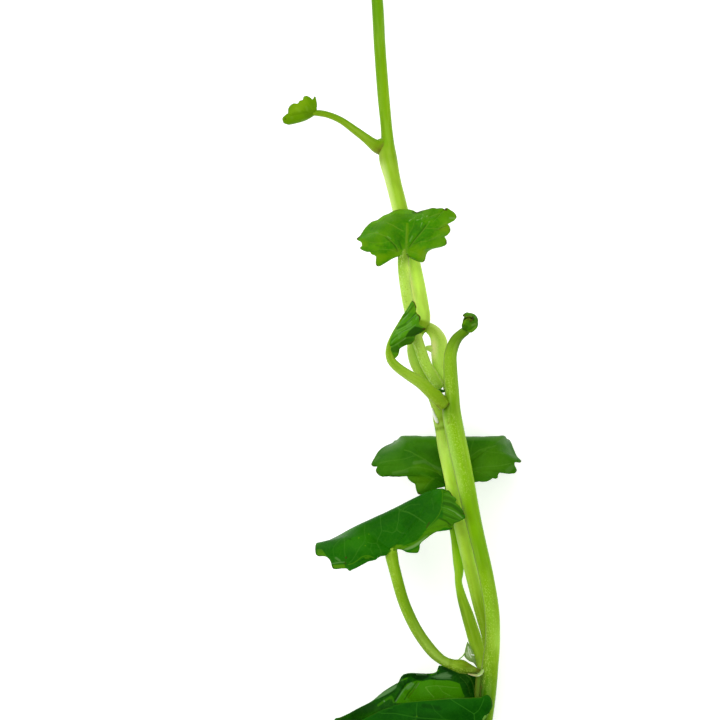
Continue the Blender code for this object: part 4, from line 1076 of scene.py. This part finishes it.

# Crumpled leaf. An old, soft leaf low on the shoot, pressed up in folds under the leaf in front of it.
# Painted light lies on one wide panel of it, and the rest carries the painted shade of dark hollows and
# painted sheen on glossy ridges.
old_skins = [
    leaf_skin(
        "old_leaf_skin", deep=(10, 69, 0), bright=(26, 91, 0), edge=(36, 98, 4), vein=(104, 158, 50),
        pale=(98, 140, 84), light=(66, 136, 0), rough=0.36,
    ),
    dark_skins[1],
]
crumpled_leaf = blade(
    "crumpled_leaf", (12.6, -63.2, 3.6),
    [
        (8, -66, 1.2, 10.6, -64.6, 2.6), (2, -68.6, 0.3, 8, -66, 1.8), (-3.4, -65.4, 0.3, 5.4, -64.5, 2.2),
        (-4.4, -61.6, 1.4, 4.8, -62, 3.4), (-3.5, -61.2, 2.2), (0, -59.3, 3.4, 6.2, -60.4, 4.6),
        (2, -58.3, 3.6), (4, -56.7, 3.3, 7.4, -59.6, 5), (6, -55.4, 3.3), (6.6, -55, 3.6, 8.8, -59, 4.4),
        (7, -54.2, 4.6), (7.4, -53.65, 5.4, 9.6, -58.6, 4.6), (8.2, -53.45, 4.8),
        (9.8, -53.5, 3.9, 10.6, -58, 4.6), (11.5, -53.55, 3.9, 11.6, -57.8, 4.8),
        (13, -53.3, 4.8, 12.1, -57.7, 4.9), (13.55, -52.65, 5.4), (13.6, -52.15, 5.6, 12.6, -57.6, 5),
        (14.2, -52.1, 5.9), (15.6, -52.1, 6.4, 14.4, -57.4, 5.4), (16.9, -52.6, 6.6),
        (18.3, -53, 6.5, 16, -57.6, 5.8), (19.8, -53.1, 6.2), (20.3, -54.6, 5.4, 16.9, -58.2, 5.6),
        (20.5, -57.2, 4.4, 17.2, -59.4, 4.8), (19.4, -59.8, 1.4, 17, -61.4, 2.6),
        (18.2, -63.4, 0.3, 15.8, -63, 1),
    ],
    old_skins,
    # Painted light and shade: the light marks are the lit panel, the pale ones painted sheen on the ridges,
    # and the dark ones the painted shade of the hollows.
    {
        "vein": [
            (0.08, 0.8, (11.2, -55.95), (11.8, -56.6), (12.6, -57.5)), (0.1, 0.6, (11.2, -55.9)),
            (0.07, 0.5, (11.4, -55.8), (13.2, -55.5), (15, -55.7), (16.8, -55.9)),
            (0.07, 0.4, (13.4, -55.6), (14.2, -56.6), (15.4, -57.2)),
            (0.12, 0.3, (16.9, -53.1), (17.9, -53.5), (18.8, -54.2), (19.25, -55.3), (19.5, -57)),
            (0.06, 0.2, (17, -54), (17.9, -54.8), (18.5, -55.8), (18.8, -57.2)),
        ],
        "light": [
            (0.1, 0.85, (6, -58.6), (7.2, -56.4), (8, -55.2), (9.4, -54.8), (10.6, -54.9), (12, -54.6),
                (13.4, -54.6), (15.2, -54.6), (16.4, -54.9), (17, -55.2), (17.2, -55.8), (17.5, -56.7),
                (17.9, -57.5), (14, -58), (10, -58.4), (6, -58.6)),
            (0.2, 0.5, (3.2, -59), (4.4, -58.2), (5.4, -57.6), (5.8, -58.4)),
            (0.12, 0.9, (17.3, -57.1), (17.7, -57.3)), (0.12, 0.8, (7.2, -54.6), (7.9, -54.3)),
            (0.1, 0.8, (12.2, -53.75), (13, -53.4), (13.5, -52.9)),
        ],
        "pale": [
            (0.12, 0.55, (8.6, -55.1), (7.7, -56.1), (6.9, -57.1), (6.1, -58.3)),
            (0.2, 0.5, (8.9, -55.3), (8.2, -56)), (0.1, 0.5, (10, -55.2), (9.4, -56)),
            (0.1, 0.75, (2.1, -58.2), (3.7, -57), (5.2, -56.1), (6.4, -55.4), (6.2, -56), (5.4, -56.7),
                (4.4, -57.3), (3.2, -57.9), (2.1, -58.2)),
            (0.2, 0.65, (12.3, -54.1), (13, -53.9), (13.9, -53.5), (14.7, -53.3), (15.7, -53.75),
                (15.4, -54.15), (14.2, -54.25), (12.3, -54.1)),
            (0.06, 0.5, (13.2, -53.75), (14.2, -53.35), (15, -53.2)),
            (0.06, 0.5, (12.8, -54.25), (14.4, -54.35), (15.6, -54.3)), (0.14, 0.9, (4.2, -58.35)),
            (0.08, 0.5, (9.6, -53.75), (11.4, -53.75)),
        ],
        "dark": [
            (0.1, 1, (8.4, -53.6), (8.8, -54.2), (9.6, -54.65), (10.6, -54.7), (11.6, -54.3), (12, -53.8),
                (10.4, -53.6), (8.4, -53.6)),
            (0.1, 0.85, (7, -54.2), (7.6, -53.6), (8.6, -53.6), (8.5, -54.1), (7, -54.2)),
            (0.08, 0.9, (3.7, -57.75), (4.9, -57.35), (6, -56.5)),
            (0.08, 0.9, (12.2, -54.4), (12.8, -54.45), (13.6, -54.4)),
            (0.06, 0.6, (13.4, -53.95), (14.3, -53.75), (15.2, -53.8)),
            (0.05, 0.5, (13.8, -54.15), (14.8, -54.05)), (0.2, 0.6, (8.2, -54.8), (7, -56.4), (6, -58.2)),
            (0.12, 0.6, (9.6, -55), (8.6, -56.4), (7.6, -57.9)),
            (0.12, 0.3, (16.3, -53.3), (17, -53.5), (17.9, -54.2), (18.6, -55.4), (18.9, -57.3),
                (18.4, -57.4), (17.7, -56.5), (17.3, -55.6), (17, -54.9), (16.4, -54.2), (16.3, -53.3)),
            (0.12, 0.8, (13.6, -52.3), (14.6, -52.9), (15.8, -53.4), (16.6, -53.9), (15.8, -53.1),
                (14.6, -52.4), (13.6, -52.3)),
            (0.8, 0.6, (-1, -60.4), (2, -59.2)),
        ],
        "brown": [(0.07, 0.5, (10, -55.1), (8.9, -56.6), (8.2, -57.7)), (0.12, 0.4, (14.4, -57.3))],
    },
    crumple=0.25, groove=0.04, puff=0.02,
)

# Front leaf. The darkest leaf, an old one that lies in front of the crumpled one and slopes down to the
# floor. It is nearly flat, with a softly waved far edge and sunken veins that run out to it.
front_leaf = blade(
    "front_leaf", (19.6, -61.9, 8.5),
    [
        (20.7, -61.9, 8.8, 20.2, -61.8, 8.8), (21.3, -60.6, 9.5, 20.9, -61.2, 9.2), (22.1, -59.8, 9.8),
        (22.5, -59, 10, 21.4, -60.2, 9.6), (22.5, -58.2, 10), (22.2, -57.4, 10),
        (21.7, -57, 10, 21.1, -59.6, 9.6), (20.6, -57.35, 9.9), (19.4, -57.45, 9.8, 19.8, -59.6, 9.6),
        (17.6, -57.5, 9.6), (15.4, -57.5, 9.3, 17.4, -59.8, 9.5), (13.6, -57.65, 9), (12, -57.9, 8.7),
        (10.4, -58.05, 8.4, 14.6, -60.4, 9.3), (8, -58.3, 8), (5.6, -58.95, 7.6, 12, -61.4, 9),
        (3, -60, 7.1), (0.6, -61.2, 6.6, 10, -63, 8.4), (-2.4, -62.8, 5.4), (-4.6, -65.2, 4.2, 9.6, -65, 7),
        (-4, -67.4, 2.4), (-2.6, -69.4, 1, 11.4, -66.6, 5.4), (1.2, -70.2, 0.7),
        (5, -71.2, 0.3, 13.8, -67, 4.6), (8.2, -70.9, 0.6), (11.6, -71, 0.3, 15.8, -66.6, 4.8),
        (13.6, -70, 1.2), (15.6, -69.4, 2.2, 17.2, -65.6, 5.6), (18.4, -65.6, 6, 18.8, -63.8, 7.2),
    ],
    [
        leaf_skin(
            "front_leaf_skin", deep=(4, 62, 0), bright=(16, 84, 0), edge=(30, 96, 4), vein=(48, 116, 20),
            pale=(58, 116, 26), gloss=0.03, rough=0.45, rim_width=0.6,
        ),
        dark_skins[1],
    ],
    # Painted light and shade: the light and pale marks are painted light and sheen along its top edge, and
    # the dark ones painted shade.
    {
        "vein": [
            (0.08, 0.75, (19.6, -61.9), (19.4, -60.2), (18.3, -59.5), (16.8, -58.6), (15.5, -57.8)),
            (0.08, 0.75, (19.4, -60.2), (20.2, -59.6), (20.7, -58.7), (21.1, -57.6)),
            (0.1, 0.5, (19.6, -61.9), (14.6, -61.2), (9.7, -60.9), (6, -60.2), (3.6, -60.2)),
            (0.09, 0.5, (9.7, -60.9), (9.6, -59.7), (9.75, -58.5)),
            (0.09, 0.3, (14.6, -61.2), (12.8, -59.8), (12.2, -58.6)),
            (0.09, 0.45, (0.6, -61), (2.6, -60.1), (4.1, -59.5), (5.65, -59.3)),
            (0.12, 0.6, (19, -62.8), (12, -64.6), (4, -65.6), (-3, -65.6)),
            (0.12, 0.6, (18.8, -63.4), (13, -67.4), (6, -70.2)),
            (0.12, 0.6, (18.8, -63.6), (16, -67.4), (13.6, -69.6)),
            (0.1, 0.5, (12, -64.6), (7, -67.4), (0, -69.4)),
            (0.1, 0.5, (9.6, -61.2), (5, -62.2), (0, -62.4)),
        ],
        "light": [
            (0.14, 0.5, (9.7, -60.7)), (0.1, 0.2, (7, -58.4), (12, -57.9), (17, -57.5), (20.6, -57.4)),
        ],
        "pale": [(0.1, 0.3, (14.6, -57.7), (18.6, -57.5))],
        "dark": [
            (0.4, 0.5, (10.9, -58.9), (13.4, -59.3)), (1, 0.3, (10, -61), (16, -60.8)),
            (0.3, 0.3, (21.4, -59.8), (22, -59)),
        ],
        "brown": [(0.1, 0.4, (22.5, -58.6))],
    },
    groove=0.025, puff=0.02,
)

# Young leaves. The folded leaf, the unopened leaf at the top of the main stem, the small leaf at the upper
# left, two leaves and a bud at the growing tip, and a scrap of a leaf beside the upper leaf's stalk. They
# are soft, most of them yellower than the large ones, and brown at the points of their lobes.
young_skins = [
    leaf_skin(
        "young_leaf_skin", deep=(56, 123, 2), bright=(78, 145, 12), edge=(90, 142, 16), vein=(116, 164, 76),
        pale=(124, 170, 96),
    ),
    upper_skins[1],
    leaf_skin(
        "unopened_leaf_skin", deep=(52, 108, 0), bright=(76, 134, 0), edge=(100, 132, 6),
        vein=(104, 146, 40), pale=(126, 156, 70), rim_width=0.4, outline=0.6,
    ),
]
folded_leaf = blade(
    "folded_leaf", (4.65, 2.2, 21),
    [
        (5.7, 0.9, 19.2, 5.2, 1.4, 20), (6.6, 1.8, 18.8), (7.6, 3.4, 18.7, 6, 2.6, 19.2), (8.4, 4.8, 18.7),
        (9.1, 6.4, 18.8, 6.4, 4.6, 19.3), (8.72, 9.65, 19.5), (9.02, 10, 19.8, 6.15, 5.35, 20.4),
        (9.5, 9.1, 20.4), (9.45, 8.2, 20.8, 6.7, 5.5, 21.6), (9.65, 7.85, 20.9),
        (10.25, 7.2, 21.4, 7.3, 4.9, 22.3), (10.05, 6.6, 21.5), (10.05, 6, 21.5, 7.5, 4.3, 22.4),
        (11.05, 5.35, 20.9, 7.8, 3.9, 22.1), (10.3, 4.7, 20.8), (9.6, 4.4, 20.8, 7.2, 3.3, 21.6),
        (9.3, 4, 20.8), (9.2, 3.4, 20.7, 7.1, 2.9, 21.3), (8.8, 2.9, 20.7), (8, 2.7, 20.7),
        (7.2, 2.35, 20.7, 6.3, 2.2, 21.2), (6.65, 1.9, 20.8), (6.55, 1.4, 20.9),
        (6.3, 0.7, 20.9, 5.9, 1.3, 21.3), (5.9, 0.35, 20.9), (5.4, 1, 20.9, 5.1, 1.6, 21.1),
    ],
    young_skins,
    # Painted light and shade: the dark marks are the painted shade of the lower lobe and the folds, the
    # light ones painted light along the middle vein, and the pale ones painted sheen.
    {
        "vein": [
            (0.07, 0.6, (6.2, 4.9), (7.05, 5.3), (7.9, 5.75), (8.8, 6.5)),
            (0.09, 0.75, (5.05, 2.05), (5.95, 2.65), (6.7, 3.1), (7.7, 3.8)),
            (0.06, 0.5, (7.2, 6.6), (7.7, 7.1), (8.3, 7.8)), (0.06, 0.4, (5.9, 4.2), (7, 4.9), (8, 5.4)),
            (0.06, 0.4, (8, 8), (8.6, 9)),
        ],
        "light": [
            (0.1, 0.5, (4.7, 2.2), (5.1, 3.4), (6, 4.9), (6.9, 6.3), (7.5, 7.5)),
            (0.35, 0.3, (8.4, 8.2), (9, 9), (9.1, 8.2)), (0.2, 0.25, (6, 0.8), (6.3, 1.2)),
        ],
        "pale": [
            (0.2, 0.16, (8, 5.6), (8.6, 6), (8.3, 5.2)), (0.2, 0.16, (6.3, 4.6), (7, 4.6), (6.6, 3.8)),
            (0.07, 0.4, (7.3, 6.8), (8.1, 7.5)), (0.12, 0.3, (9.5, 6.8), (9.7, 7.2)),
            (0.07, 0.3, (5.4, 2.9), (6.1, 3.7)), (0.05, 0.35, (7.9, 6.2), (8.9, 7.1), (9.4, 7.6)),
            (0.05, 0.35, (6.5, 4.2), (7.6, 4.9), (8.4, 5.2), (9.4, 6)),
        ],
        "dark": [
            (0.12, 1, (6.6, 3.1), (7.6, 3.95), (8.2, 4.9), (9.2, 5.7), (9.9, 5.6), (10.4, 5.45), (11, 5.3),
                (10.1, 4.6), (9.2, 4.15), (8.3, 4), (7.65, 3.85), (6.6, 3.1)),
            (0.14, 0.65, (6.8, 3.1), (7.8, 3.7), (9.2, 3.8), (9, 3.3), (8.4, 2.8), (7.4, 2.5), (6.4, 2.3),
                (6.8, 3.1)),
            (0.12, 0.75, (5.1, 1.9), (6.4, 2.6), (6.7, 2), (6.4, 1.2), (5.6, 1.3), (5.1, 1.9)),
            (0.16, 0.6, (6.4, 5.3), (7.6, 5.95), (8.7, 6.9), (9.4, 7.9)),
            (0.12, 0.45, (5.4, 3.3), (6.6, 4.3), (7.8, 5.1), (8.6, 5.6)),
            (0.16, 0.5, (7.4, 7.1), (8.3, 8.1), (9.1, 9.2)), (0.1, 0.4, (5.2, 2.5), (6.2, 3.2), (7.2, 3.9)),
        ],
        "brown": [
            (0.14, 0.8, (9.75, 7.7), (10.15, 7.25), (10.05, 6.5)), (0.12, 1, (10.6, 5.3), (11.05, 5.3)),
            (0.12, 0.7, (9.25, 3.9)), (0.08, 0.7, (9, 9.95), (9.35, 9.4), (9.45, 8.8)),
            (0.08, 0.6, (8.9, 3.2), (8.5, 2.85)), (0.06, 0.5, (8, 9), (8.7, 9.8)),
        ],
    },
    thickness=0.26, puff=0.03, crumple=0.06,
)
curled_leaf = blade(
    "curled_leaf", (18.15, 4.85, 20.9),
    [
        (17.35, 5.45, 21.5, 17.5, 5.15, 21.2), (17.3, 6, 22, 17.55, 5.3, 21.8),
        (17.55, 6.5, 22.5, 17.8, 5.3, 22.3), (17.95, 6.95, 22.8, 18.2, 5.1, 22.6),
        (18.5, 7.1, 22.9, 18.7, 4.95, 22.6), (18.9, 6.9, 22.9, 19.15, 5.05, 22.4),
        (19, 7.1, 22.9, 19.75, 5.7, 21.9), (18.95, 7.3, 22.9, 19.82, 6.5, 21.6),
        (18.4, 7.3, 22.8, 19.5, 7.3, 21.6), (18, 7.25, 22.6, 19.1, 7.6, 21.5),
        (17.4, 7.55, 22.2, 18.5, 7.7, 21.4), (17.6, 7.7, 21.8, 18.3, 7.7, 21.1),
        (17.75, 7.4, 20.9, 18.6, 7.2, 20.2), (17.45, 6.6, 20.3, 18.4, 6.3, 19.7),
        (17.4, 5.9, 20.2, 18, 5.6, 20),
    ],
    [young_skins[2], young_skins[2]],
    # Painted light and shade: the dark marks are the painted shade of its hollows, and the light and pale
    # ones painted light and sheen.
    {
        "vein": [(0.07, 0.5, (18.6, 4.9), (19.4, 5.6), (19.8, 6.4))],
        "light": [
            (0.2, 0.5, (17.6, 6.2), (17.8, 6.5)), (0.2, 0.4, (18.2, 7.7), (19, 7.8)),
            (0.3, 0.5, (18.4, 4.8), (19, 4.9), (19.5, 5.5)),
        ],
        "pale": [(0.2, 0.4, (19, 5.9), (19.3, 6.1))],
        "dark": [
            (0.16, 1, (19.05, 7.2), (19.1, 6.8)), (0.3, 0.4, (17.5, 5.7), (18, 5.6)),
            (0.25, 0.4, (18.6, 6.4), (19, 6.4)),
        ],
        "brown": [
            (0.14, 0.8, (18.65, 4.55)), (0.18, 0.6, (18.2, 7.1), (18.6, 7.2), (18.9, 7), (18.7, 6.6)),
            (0.14, 0.5, (18.3, 6.8)), (0.1, 0.8, (17.5, 7.5)), (0.07, 0.4, (20, 6.2), (19.8, 5.5)),
        ],
    },
    steps=6, rows=24, thickness=0.24, crumple=0.06,
)
yellow_skins = [
    leaf_skin(
        "yellow_leaf_skin", deep=(94, 142, 0), bright=(122, 168, 0), edge=(104, 146, 4), vein=(126, 168, 20),
        pale=(140, 180, 60), light=(130, 170, 12), rim_width=0.4,
    ),
    upper_skins[1],
]
top_left_leaf = blade(
    "top_left_leaf", (-7.4, 42, 7.4),
    [
        (-7.9, 43.2, 6, -7.8, 42.5, 6.6), (-8.6, 43.9, 5.2, -8.2, 42.6, 6.2), (-9.6, 43.4, 5),
        (-10.8, 43, 4.6, -9.2, 41.9, 5.8), (-12, 41.6, 5), (-13, 41, 5.4, -9.8, 40.95, 6.4),
        (-12.8, 40.4, 6.4), (-12.1, 40.2, 7.2, -9.7, 40.85, 7.5), (-13, 40.45, 7.7),
        (-13.2, 41.2, 7.9, -9.9, 41.3, 8.3), (-12.7, 41.75, 8.1), (-12.3, 42, 8.3, -9.9, 42, 8.5),
        (-12.2, 42.8, 8.3), (-11.8, 43.4, 8.3, -9.7, 42.4, 8.6), (-11.3, 43.7, 8.4),
        (-10.6, 43.7, 8.5, -9.2, 42.7, 8.6), (-10.3, 44.1, 8.5), (-9.8, 44.3, 8.4), (-9.6, 44.8, 8.3),
        (-9.2, 45, 8.3, -8.8, 43, 8.5), (-8.6, 44.75, 8.2), (-8.1, 44.4, 8.1, -8.2, 43.1, 8.2),
        (-7.7, 44.9, 8, -7.7, 43.2, 7.9), (-7.45, 44, 7.8), (-7.4, 43.2, 7.6, -7.5, 42.8, 7.6),
    ],
    yellow_skins,
    {
        "vein": [
            (0.09, 0.2, (-8, 42.3), (-9.6, 42.6), (-11.4, 43.2)),
            (0.09, 0.2, (-8.2, 42.2), (-10.4, 41.8), (-12.6, 41.3)),
            (0.09, 0.2, (-8, 42.5), (-8.8, 43.6), (-9.2, 44.6)),
        ],
        "pale": [
            (0.3, 0.12, (-11.6, 41.3)), (0.25, 0.15, (-10.8, 42.8), (-10.3, 42.4)),
            (0.2, 0.15, (-9.2, 43.1), (-9, 42.6)),
        ],
        "light": [
            (0.7, 0.5, (-12.2, 42.2), (-11.2, 43.4), (-9.4, 44.8), (-9, 43.6), (-10.2, 42.3), (-12.2, 41.8),
                (-12.2, 42.2)),
        ],
        "dark": [
            (0.5, 0.35, (-7.9, 42.2), (-9, 41.8)), (0.3, 0.2, (-8.3, 42.4), (-10, 42.1), (-11.3, 41.9)),
        ],
        "brown": [(0.14, 0.7, (-12.7, 41.1)), (0.1, 0.5, (-7.7, 44.8)), (0.08, 0.4, (-12.3, 42))],
    },
    thickness=0.26, groove=0.04, crumple=0.05,
)
tip_leaf_left = blade(
    "tip_leaf_left", (-1.2, 71.3, 2.3),
    [
        (-2.6, 69.9, 1, -1.9, 70.6, 1.9), (-4.4, 69.4, 0.3, -2.4, 70.4, 2), (-5, 70.1, 0.6),
        (-6.4, 70.6, 0.3, -3.4, 70.9, 2.1), (-6.2, 72, 0.7, -3.6, 71.6, 2.2), (-7.2, 72.7, 0.6),
        (-6.9, 73.7, 0.7, -3.7, 72.4, 2.4), (-5.6, 74.2, 1.4), (-5.6, 75.3, 1.3, -3.1, 73, 2.6),
        (-4.6, 76.7, 1.5, -2.5, 73.7, 2.7), (-3.6, 75.7, 1.9), (-2.7, 76.2, 1.9, -1.9, 73.5, 2.7),
        (-1, 76.1, 2, -1.2, 73.4, 2.6), (-0.8, 74.8, 2.2), (0, 73.8, 2.2, -0.7, 72.6, 2.4),
    ],
    young_skins,
    {
        "vein": [
            (0.1, 0.6, (-1.4, 71.5), (-3.4, 72.2), (-6.4, 73)),
            (0.1, 0.6, (-1.4, 71.6), (-2.6, 73.6), (-4.3, 76)),
            (0.1, 0.6, (-1.4, 71.2), (-3.2, 70.7), (-5.8, 70.6)),
            (0.09, 0.5, (-1.2, 71.8), (-1.3, 73.6), (-1.6, 75.6)),
        ],
        "brown": [(0.15, 0.6, (-4.6, 76.6)), (0.15, 0.6, (-6.9, 73.5))],
    },
    steps=5, rows=18, thickness=0.26, puff=0.08, groove=0.06, crumple=0.08,
)
tip_leaf_right = blade(
    "tip_leaf_right", (5.45, 72.6, 2.7),
    [
        (6, 71.4, 1.6, 5.8, 71.9, 2.3), (7.2, 70.2, 0.3, 6.2, 71.5, 2.2), (8.2, 70.9, 0.5),
        (9.6, 70.8, 0.3, 7.2, 71.7, 2.3), (10, 72.3, 0.7, 7.6, 72.5, 2.5), (11.1, 73, 0.5),
        (11.1, 74.3, 0.6, 7.8, 73.3, 2.7), (9.8, 74.5, 1.2), (9.7, 75.8, 1.4, 7.3, 74, 2.9),
        (8.8, 77.3, 1.4, 6.7, 74.8, 3), (7.8, 76.5, 1.8), (6.8, 77.1, 2, 6, 74.6, 3),
        (5.2, 76.9, 2.2, 5.4, 74.4, 2.9), (4.8, 75.6, 2.4), (4.3, 74.6, 2.6, 5, 73.6, 2.8),
    ],
    young_skins,
    {
        "vein": [
            (0.1, 0.6, (5.7, 72.8), (7.8, 73.2), (10.6, 73.8)),
            (0.1, 0.6, (5.6, 72.9), (6.8, 74.8), (8.5, 76.8)),
            (0.1, 0.6, (5.7, 72.6), (7.4, 71.8), (9.4, 71.2)),
            (0.09, 0.5, (5.5, 73), (5.7, 74.6), (6.2, 76.4)),
        ],
        "brown": [(0.15, 0.6, (8.8, 77.2)), (0.15, 0.6, (11.1, 74.2))],
    },
    steps=5, rows=18, thickness=0.26, puff=0.08, groove=0.06, crumple=0.08,
)
tip_bud = blade(
    "tip_bud", (2.1, 71.7, 1.75),
    [
        (3, 74.2, 1.3, 2.6, 73, 1.4), (3, 75.4, 2.1, 2.9, 73.3, 2.2), (2, 76.2, 2.3, 2.2, 73.6, 2.6),
        (1.1, 75.2, 2.1, 1.4, 73.3, 2.2), (1.2, 74, 1.3, 1.6, 73, 1.4),
    ],
    yellow_skins, {"vein": [(0.12, 0.5, (2.1, 72.6), (2.1, 74.2), (2, 75.8))]}, steps=6, rows=16, puff=0.03,
    groove=0.03, crumple=0.03,
)
axil_leaf = blade(
    "axil_leaf", (14.7, -5.1, 17.9),
    [
        (13.8, -5.5, 18.2, 14.2, -5.42, 18.1), (13.3, -5.35, 18.3, 13.9, -5.3, 18.3),
        (13.35, -5.05, 18.3, 13.9, -5.15, 18.3), (13.9, -4.95, 18.2, 14.2, -5.1, 18.1),
    ],
    old_skins,
    # Painted highlights: the light and pale marks are painted highlights along its upper side.
    {
        "light": [(0.08, 0.7, (13.4, -5.05), (14.2, -5.05))],
        "pale": [(0.05, 0.6, (13.8, -5.25), (14.2, -5.22))],
    },
    steps=6, rows=10, thickness=0.26, puff=0.02, groove=0.0, crumple=0.02,
)

# Roots and scraps at the joints. Short root tips, a thread, a small pale bud, a thin skin left from the foot
# of a leaf, and a dark olive strip beside the main stem's lower joint. The roots are soft and pale and grow
# straight out of the joint.
white_root = stem_skin(
    "white_root_skin", [(0, (236, 244, 222), (242, 248, 230), (226, 236, 200))], fleck=(250, 252, 244),
    shade=(190, 206, 150),
)
root_tip = stem(
    "root_tip",
    [
        (21, -52.7, 9, 0.3), (20.6, -53.3, 9.4, 0.32), (20.1, -53.62, 9.5, 0.27), (19.3, -53.6, 9.5, 0.2),
        (18.35, -53.42, 9.4, 0.06),
    ],
    stem_skin(
        "root_tip_skin",
        [
            (0, (150, 186, 96), (150, 186, 96), (140, 176, 86)),
            (1.2, (160, 190, 110), (156, 184, 100), (130, 160, 76)),
            (2.6, (196, 190, 134), (170, 170, 104), (140, 146, 76)),
        ],
        fleck=(240, 240, 214), flecks=0.6, shade=(150, 130, 70),
    ),
    around=18, step=0.12, rib=0.0,
)
root_thread = stem(
    "root_thread",
    [(16.7, -51.2, 8.9, 0.1), (16.95, -50.9, 8.5, 0.11), (17.45, -50.5, 7.9, 0.1), (17.85, -50, 7.4, 0.12)],
    dim_skin, around=14, step=0.1, rib=0.0,
)
joint_rootlet = stem(
    "joint_rootlet",
    [
        (13.2, -10.7, 17.2, 0.22), (12.98, -10.25, 17.2, 0.3), (12.7, -9.6, 17.1, 0.29),
        (12.45, -8.9, 16.9, 0.22), (12.25, -8.1, 16.5, 0.08),
    ],
    white_root, around=16, step=0.15, rib=0.0,
)
# Painted light: the bud's pale colour is lifted above its own where the upper leaf's stalk shades it.
joint_bud = stem(
    "joint_bud",
    [(13, 1.7, 15, 0.62), (12.35, 1.85, 15.2, 0.66), (11.75, 2, 15.1, 0.52), (11.1, 2.05, 14.7, 0.38)],
    stem_skin(
        "joint_bud_skin", [(0, (226, 250, 140), (222, 248, 134), (214, 242, 120))], fleck=(240, 252, 190),
    ),
    around=18, step=0.08, rib=0.0,
)
dry_scale = stem(
    "dry_scale",
    [
        (20.8, -52.9, 8.3, 0.2), (20.3, -53.9, 8, 0.5), (20.15, -55.4, 7.3, 0.58), (20.05, -57.2, 6.5, 0.56),
        (19.95, -58.6, 6, 0.2),
    ],
    stem_skin(
        "dry_scale_skin", [(0, (80, 122, 24), (88, 130, 28), (84, 106, 20))], fleck=(130, 140, 60),
        shade=(44, 50, 10),
    ),
    around=18, step=0.15,
)
root_sheath = blade(
    "root_sheath", (19.9, -52.3, 6.9),
    [
        (18.6, -51.35, 7.3, 19.3, -51.6, 7.2), (17.8, -50.5, 7.2, 19.1, -50.9, 7.3),
        (17.95, -49.3, 6.9, 19, -50.1, 7.2), (18.3, -48, 6.9, 19.1, -49.4, 7.1),
    ],
    [
        leaf_skin(
            "thin_skin", deep=(108, 144, 66), bright=(132, 160, 92), edge=(120, 154, 76),
            vein=(200, 214, 180), pale=(244, 248, 238), light=(150, 190, 104),
        ),
    ],
    # Painted highlight and shade: the pale mark is a painted highlight and the dark ones painted shade.
    {
        "vein": [
            (0.12, 0.9, (18.45, -48.9), (18.55, -50), (18.9, -50.7)),
            (0.08, 0.8, (18.75, -49.3), (18.95, -50.1)), (0.08, 0.6, (18.1, -49.8), (18.3, -50.5)),
        ],
        "dark": [(0.08, 0.3, (18.9, -51), (19.4, -51.7)), (0.08, 0.25, (17.9, -50.3), (18.4, -50.9))],
        "pale": [(0.08, 1, (18.95, -50.25), (19.4, -50.3))],
    },
    steps=6, rows=16, thickness=0.2, puff=0.06, groove=0.0,
)

# The floor, the light and the camera. A plain white floor, a large soft light high on the left, a weaker one
# on the right, and a long lens straight above, so that the shoot is seen flat as the photograph shows it.
floor_mesh = bpy.data.meshes.new("floor")
floor_grid = bmesh.new()
bmesh.ops.create_grid(floor_grid, x_segments=2, y_segments=2, size=4.0)
floor_grid.to_mesh(floor_mesh)
floor_grid.free()
floor = bpy.data.objects.new("floor", floor_mesh)
bpy.context.scene.collection.objects.link(floor)
paper = bpy.data.materials.new("white_paper")
paper.use_nodes = True
paper_shader = paper.node_tree.nodes["Principled BSDF"]
paper_shader.inputs["Base Color"].default_value = (0.94, 0.94, 0.94, 1)
paper_shader.inputs["Roughness"].default_value = 0.9
paper_shader.inputs["Specular IOR Level"].default_value = 0.1
paper_shader.inputs["Emission Color"].default_value = (1, 1, 1, 1)
paper_shader.inputs["Emission Strength"].default_value = 0.42
floor_mesh.materials.append(paper)


def soft_light(name, place, size, power):
    lamp = bpy.data.lights.new(name, "AREA")
    lamp.shape = "DISK"
    lamp.size = size
    lamp.energy = power
    holder = bpy.data.objects.new(name, lamp)
    bpy.context.scene.collection.objects.link(holder)
    holder.location = place
    holder.rotation_euler = (-Vector(place)).to_track_quat("-Z", "Y").to_euler()


soft_light("window_left", (-0.55, 0.45, 1.15), 1.8, 13.0)
soft_light("fill_right", (0.9, -0.3, 0.9), 0.9, 4.0)
world = bpy.data.worlds.new("studio")
world.use_nodes = True
world.node_tree.nodes["Background"].inputs["Color"].default_value = (1.0, 1.0, 1.0, 1)
world.node_tree.nodes["Background"].inputs["Strength"].default_value = 0.5
bpy.context.scene.world = world
bpy.context.scene.view_settings.view_transform = "Standard"

VIEW_WIDTH = 0.1224
VIEW_DISTANCE = 2.0
HEIGHT_IN_FOCUS = 0.012
lens = bpy.data.cameras.new("camera")
lens.sensor_width = 36.0
lens.lens = lens.sensor_width * VIEW_DISTANCE / VIEW_WIDTH
lens.clip_end = 20.0
camera = bpy.data.objects.new("camera", lens)
bpy.context.scene.collection.objects.link(camera)
view_middle = -MIDDLE_OF_FOOTPRINT * MM
camera.location = (view_middle.x, view_middle.y, VIEW_DISTANCE + HEIGHT_IN_FOCUS)
bpy.context.scene.camera = camera
